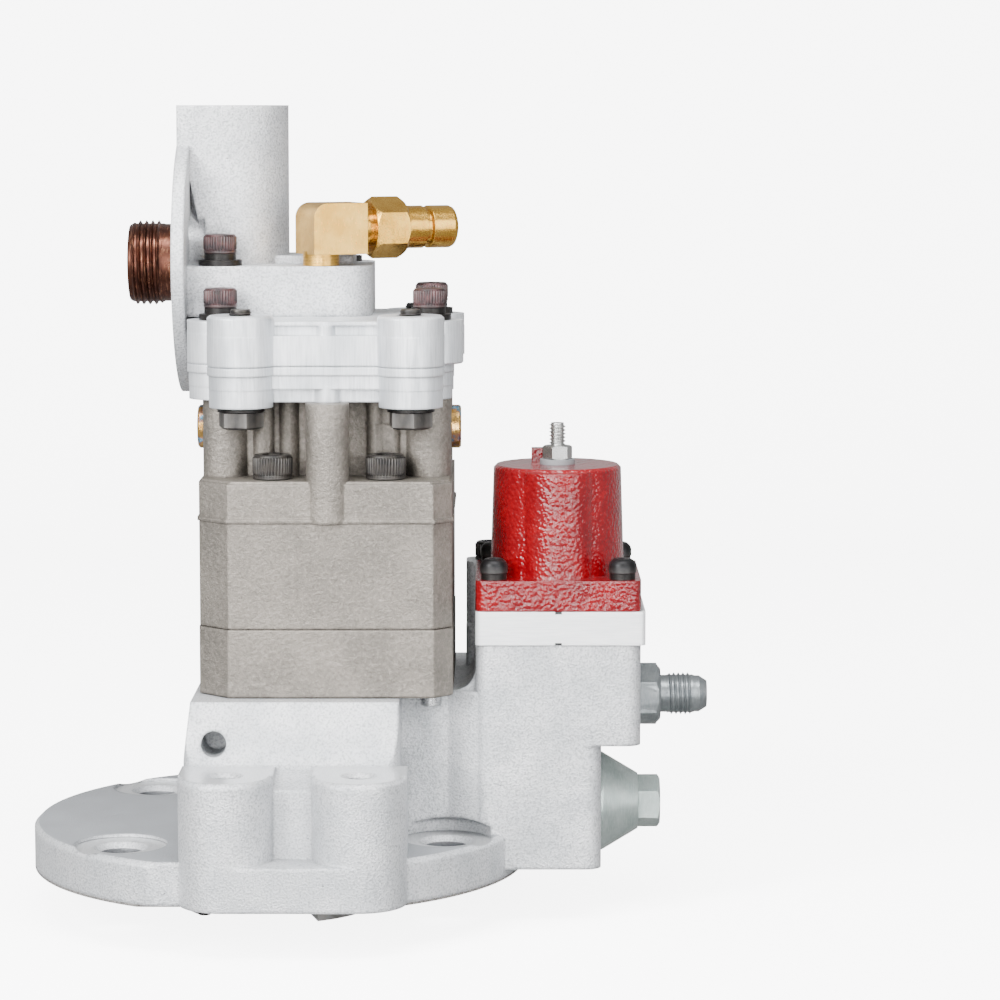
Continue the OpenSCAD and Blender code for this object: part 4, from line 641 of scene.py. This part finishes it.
# Thick hammered enamel: deep red under a clear glossy skin, pulled into dimples as it dries.
# The dimples are 1.15 mm wide and break each reflected light into a crinkled white band.
def hammered_enamel():
    mat, nt, bsdf, co = start_material("hammered_red_paint", Metallic=0.0, Roughness=0.22,
                                       Specular_IOR_Level=0.15, Coat_Weight=1.0,
                                       Coat_Roughness=0.05)
    dimple = add(nt, "TexVoronoi", {"Vector": co, "Scale": 1 / (1.15 * MM)}, "Distance",
                 feature="SMOOTH_F1")
    fine = add(nt, "TexNoise", {"Vector": co, "Scale": 1 / (0.8 * MM), "Detail": 3.0,
                                "Roughness": 0.55})
    cloud = add(nt, "TexNoise", {"Vector": co, "Scale": 1 / (10 * MM), "Detail": 3.0,
                                 "Roughness": 0.55})
    clouded = add(nt, "MapRange", {"Value": cloud, "From Min": 0.3, "From Max": 0.7})
    base = add(nt, "Mix", {0: clouded, 6: "#86000c", 7: "#68000a"}, 2, data_type="RGBA")
    rim = add(nt, "MapRange", {"Value": dimple, "From Min": 0.25, "From Max": 0.6, "To Max": 0.4})
    base = add(nt, "Mix", {0: rim, 6: base, 7: "#560009"}, 2, data_type="RGBA")
    nt.links.new(base, bsdf.inputs["Base Color"])
    relief(nt, bsdf, 1.0 * MM, (dimple, -0.3 * MM), (fine, 0.12 * MM))
    nt.links.new(bsdf.inputs["Normal"].links[0].from_socket, bsdf.inputs["Coat Normal"])
    return mat


dress(hammered_enamel(), "solenoid_can")


def button_screw(d, head_d, head_h, length, n=72):
    """Plain shank and a domed head with a hexagon socket."""
    r = head_d / 2
    socket = hexagon(0.6 * d, n)
    return loft([(-length, d / 2), (0, d / 2), (0, r - 0.2), (0.3, r), (0.5 * head_h, r),
                 (0.62 * head_h, r - 0.15), (0.8 * head_h, r - 0.6), (0.93 * head_h, r - 1.3),
                 (head_h, r - 2.0), (head_h, socket + 0.2), (head_h - 0.25, socket),
                 (0.45 * head_h, socket), (0.4 * head_h, 0.2)], n)


make_piece("solenoid_screws_turned", [
    (button_screw(5, 9, 4.8, 35),
     at(SOLENOID_X + SCREW_SPACING * i, SOLENOID_Y + SCREW_SPACING * j, SCREW_SEAT, i + j))
    for i in (-1, 1) for j in (-1, 1)],
    jet_oxide, "pump_body", ["solenoid_screws"])
dress(washer_oxide, "solenoid_lock_washers")


# Terminal
# A nickel-plated stud and nut for the wire, in a moulded grey bush that insulates them from the
# can. The thread is drawn deeper and coarser than the real one, which is too fine to show.
POST_FOOT = 129.6
THREAD_START = 139.55
THREAD_END = 146.7
POST_TOP = 147.1
POST_SIDES = 48


# Bright nickel is a warm mirror with a fine satin haze.
def nickel_plate():
    mat, nt, bsdf, co = start_material("bright_nickel_plate", Metallic=0.95)
    haze = add(nt, "TexNoise", {"Vector": co, "Scale": 1 / (0.3 * MM), "Detail": 3.0,
                                "Roughness": 0.55})
    hazy = add(nt, "MapRange", {"Value": haze, "From Min": 0.35, "From Max": 0.7})
    base = add(nt, "Mix", {0: hazy, 6: "#c9cac8", 7: "#a4a5a3"}, 2, data_type="RGBA")
    nt.links.new(base, bsdf.inputs["Base Color"])
    rough = add(nt, "MapRange", {"Value": haze, "From Min": 0.3, "From Max": 0.7, "To Min": 0.2,
                                 "To Max": 0.36})
    nt.links.new(rough, bsdf.inputs["Roughness"])
    relief(nt, bsdf, 0.2 * MM, (haze, 0.01 * MM))
    return mat


nickel = nickel_plate()
post = loft([(POST_FOOT, 1.6), (THREAD_START - 0.05, 1.6)]
            + threads(THREAD_START, THREAD_END, 1.2, 2.9, 0.75, POST_SIDES, 0.3)
            + [(POST_TOP, 2.1)], POST_SIDES)
make_piece("terminal_stud_threaded", [(post, at(SOLENOID_X, SOLENOID_Y, 0))], nickel, "pump_body",
           ["terminal_stud"])
dress(nickel, "terminal_nut")


# Moulded plastic, rubber, sintered bronze and enamelled wire each show one even tone, over a skin
# that is only slightly uneven.
def even_tone(name, code, metallic, rough, grain_size, depth=0.02 * MM, edge=0.2 * MM):
    mat, nt, bsdf, co = start_material(name, Base_Color=srgb(code), Metallic=metallic,
                                       Roughness=rough)
    grain = add(nt, "TexNoise", {"Vector": co, "Scale": 1 / grain_size, "Detail": 3.0,
                                 "Roughness": 0.55})
    relief(nt, bsdf, edge, (grain, depth))
    return mat


dress(even_tone("grey_moulded_insulator", "#77797b", 0.0, 0.5, 0.5 * MM, 0.03 * MM, 0.3 * MM),
      "terminal_insulator")


# Flange gasket
# Pressed fibre sheet cut to the flange's outline, and gripped between the flange and the engine.
# Grey-black with pale specks and short dark strands, drawn about twice their real size.
def gasket_fibre():
    mat, nt, bsdf, co = start_material("speckled_gasket_fibre", Roughness=0.85)
    speck = add(nt, "TexNoise", {"Vector": co, "Scale": 1 / (0.55 * MM), "Detail": 2.0,
                                 "Roughness": 0.8})
    laid = add(nt, "Mapping", {"Vector": co, "Scale": (1.0, 0.3, 1.0)})
    strand = add(nt, "TexNoise", {"Vector": laid, "Scale": 1 / (1.2 * MM), "Detail": 4.0,
                                  "Roughness": 0.7})
    specked = add(nt, "MapRange", {"Value": speck, "From Min": 0.42, "From Max": 0.6})
    base = add(nt, "Mix", {0: specked, 6: "#4a4847", 7: "#8d8a87"}, 2, data_type="RGBA")
    stranded = add(nt, "MapRange", {"Value": strand, "From Min": 0.58, "From Max": 0.68,
                                    "To Max": 0.7})
    base = add(nt, "Mix", {0: stranded, 6: base, 7: "#2a2928"}, 2, data_type="RGBA")
    nt.links.new(base, bsdf.inputs["Base Color"])
    relief(nt, bsdf, 0.15 * MM, (speck, 0.08 * MM))
    return mat


dress(gasket_fibre(), "mounting_gasket")


# Coupling and drive train
# A jaw half of turned steel, clamped on the drive shaft, with an ivory nylon spider between its
# jaws. Shafts, gears, bearings and valve pieces are hardened steel, ground to size.
def turned_steel(name, light, deep, rough_from):
    """Satin grey steel with faint level lines from the lathe or the grinding wheel."""
    mat, nt, bsdf, co = start_material(name, Metallic=0.9)
    cloud = add(nt, "TexNoise", {"Vector": co, "Scale": 1 / (6 * MM), "Detail": 3.0,
                                 "Roughness": 0.55})
    level = add(nt, "Mapping", {"Vector": co, "Scale": (0.3, 0.3, 1.0)})
    lines = add(nt, "TexNoise", {"Vector": level, "Scale": 1 / (0.4 * MM), "Detail": 3.0,
                                 "Roughness": 0.6})
    clouded = add(nt, "MapRange", {"Value": cloud, "From Min": 0.35, "From Max": 0.65})
    base = add(nt, "Mix", {0: clouded, 6: light, 7: deep}, 2, data_type="RGBA")
    nt.links.new(base, bsdf.inputs["Base Color"])
    rough = add(nt, "MapRange", {"Value": lines, "From Min": 0.3, "From Max": 0.7,
                                 "To Min": rough_from, "To Max": rough_from + 0.15})
    nt.links.new(rough, bsdf.inputs["Roughness"])
    relief(nt, bsdf, 0.4 * MM, (lines, 0.02 * MM))
    return mat


dress(turned_steel("coupling_steel", "#8d8c8a", "#6f6e6c", 0.32), "coupling_half")
dress(turned_steel("ground_bearing_steel", "#bcbdbe", "#9fa0a2", 0.22), "bearing_outer_races",
      "bearing_balls", "bearing_spacer", "bearing_inner_races", "gear_pump_dowels", "drive_shaft",
      "drive_gear", "drive_gear_key", "driven_shaft", "driven_gear", "damper_diaphragm", "valve_seat",
      "valve_disc", "valve_spring", "solenoid_core", "regulator_plunger", "regulator_spring")


# Moulded nylon is ivory and waxy: light enters it a little, and its gloss is soft.
def moulded_nylon():
    mat, nt, bsdf, co = start_material("ivory_nylon", Roughness=0.42, Subsurface_Weight=0.25,
                                       Subsurface_Scale=0.002)
    cloud = add(nt, "TexNoise", {"Vector": co, "Scale": 1 / (9 * MM), "Detail": 3.0,
                                 "Roughness": 0.55})
    clouded = add(nt, "MapRange", {"Value": cloud, "From Min": 0.3, "From Max": 0.7})
    base = add(nt, "Mix", {0: clouded, 6: "#efe3cb", 7: "#e3d3b4"}, 2, data_type="RGBA")
    nt.links.new(base, bsdf.inputs["Base Color"])
    skin = add(nt, "TexNoise", {"Vector": co, "Scale": 1 / (1.2 * MM), "Detail": 3.0,
                                "Roughness": 0.55})
    relief(nt, bsdf, 0.6 * MM, (skin, 0.02 * MM))
    return mat


dress(moulded_nylon(), "coupling_spider")


# Inner pieces
# Sealed inside the castings, so that only a cutaway shows them: sintered bronze bushes, moulded
# black rubber seals, and the solenoid's winding of enamelled copper wire.
dress(even_tone("bronze_bush", "#a57b4d", 0.9, 0.35, 1 * MM), "gear_pump_bushings")
dress(even_tone("black_nitrile", "#141414", 0.0, 0.55, 1 * MM), "spacer_seals", "shaft_seal")
dress(even_tone("enamelled_copper", "#b4633a", 0.8, 0.3, 0.5 * MM), "solenoid_coil")


# Shut-off valve spring
# A coil of spring steel between the disc and the column's top. It is a piece of its own, a copy
# of the CAD spring riding on the pump body. The disc's lift is 0.8 mm.
spring = NODES["valve_spring"]
coils = bpy.data.objects.new("valve_spring_coils", spring.data.copy())
coils.matrix_world = spring.matrix_world.copy()
bpy.context.scene.collection.objects.link(coils)
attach(coils, "pump_body")
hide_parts("valve_spring")
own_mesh(coils)


# Studio
# A pale sheet of floor that bends up into a backdrop behind the part, with large soft lights.
# The sheet glows evenly, as if lit by lamps of its own, and throws none of that on the part.
FLOOR_REACH = 4.0
BEND_START = 0.9
BEND_R = 0.6
FLOOR_GAP = 0.0003
MIDDLE = (0.04, 0.0, 0.12)
PILLAR = (0.07, 0.03, 0.08)

bend = [(BEND_START + BEND_R * math.sin(math.radians(a)), BEND_R - BEND_R * math.cos(math.radians(a)))
        for a in range(0, 91, 6)]
profile = [(-FLOOR_REACH, 0.0)] + bend + [(BEND_START + BEND_R, FLOOR_REACH)]
verts = [(x, y, z) for y, z in profile for x in (-FLOOR_REACH, FLOOR_REACH)]
faces = [(2 * i, 2 * i + 1, 2 * i + 3, 2 * i + 2) for i in range(len(profile) - 1)]
floor_mesh = bpy.data.meshes.new("floor")
floor_mesh.from_pydata(verts, [], faces)
floor_mesh.polygons.foreach_set("use_smooth", [True] * len(floor_mesh.polygons))
floor_mesh.materials.append(start_material(
    "studio_floor", Base_Color=srgb("#fbfbfb"), Roughness=0.9,
    Emission_Color=(1.0, 1.0, 1.0, 1.0), Emission_Strength=6.0)[0])
floor = bpy.data.objects.new("floor", floor_mesh)
floor.location.z = cad_box[0][2] - FLOOR_GAP
floor.visible_glossy = False
floor.visible_diffuse = False
bpy.context.scene.collection.objects.link(floor)

world = bpy.data.worlds.new("studio")
world.use_nodes = True
sky = world.node_tree.nodes["Background"]
sky.inputs["Color"].default_value = (1.0, 1.0, 1.0, 1.0)
sky.inputs["Strength"].default_value = 0.5
bpy.context.scene.world = world


def soft_light(name, place, target, width, height, watts):
    """A rectangular lamp, sizes and places in metres."""
    lamp = bpy.data.lights.new(name, "AREA")
    lamp.shape = "RECTANGLE"
    lamp.size = width
    lamp.size_y = height
    lamp.energy = watts
    light = bpy.data.objects.new(name, lamp)
    light.location = place
    light.rotation_euler = (Vector(target) - Vector(place)).to_track_quat("-Z", "Y").to_euler()
    bpy.context.scene.collection.objects.link(light)


soft_light("key", (-1.1, -1.2, 0.9), MIDDLE, 0.4, 1.2, 56)
soft_light("fill", (1.3, -0.9, 0.5), MIDDLE, 0.3, 1.2, 9)
soft_light("top", (0.1, -0.55, 1.35), MIDDLE, 1.2, 0.5, 30)
soft_light("left_strip", (-0.45, -1.25, 0.35), MIDDLE, 0.26, 1.0, 14)
soft_light("right_strip", (0.75, -1.15, 0.35), MIDDLE, 0.24, 1.0, 11)
soft_light("front", (0.072, -1.4, 0.25), PILLAR, 0.12, 0.9, 9)
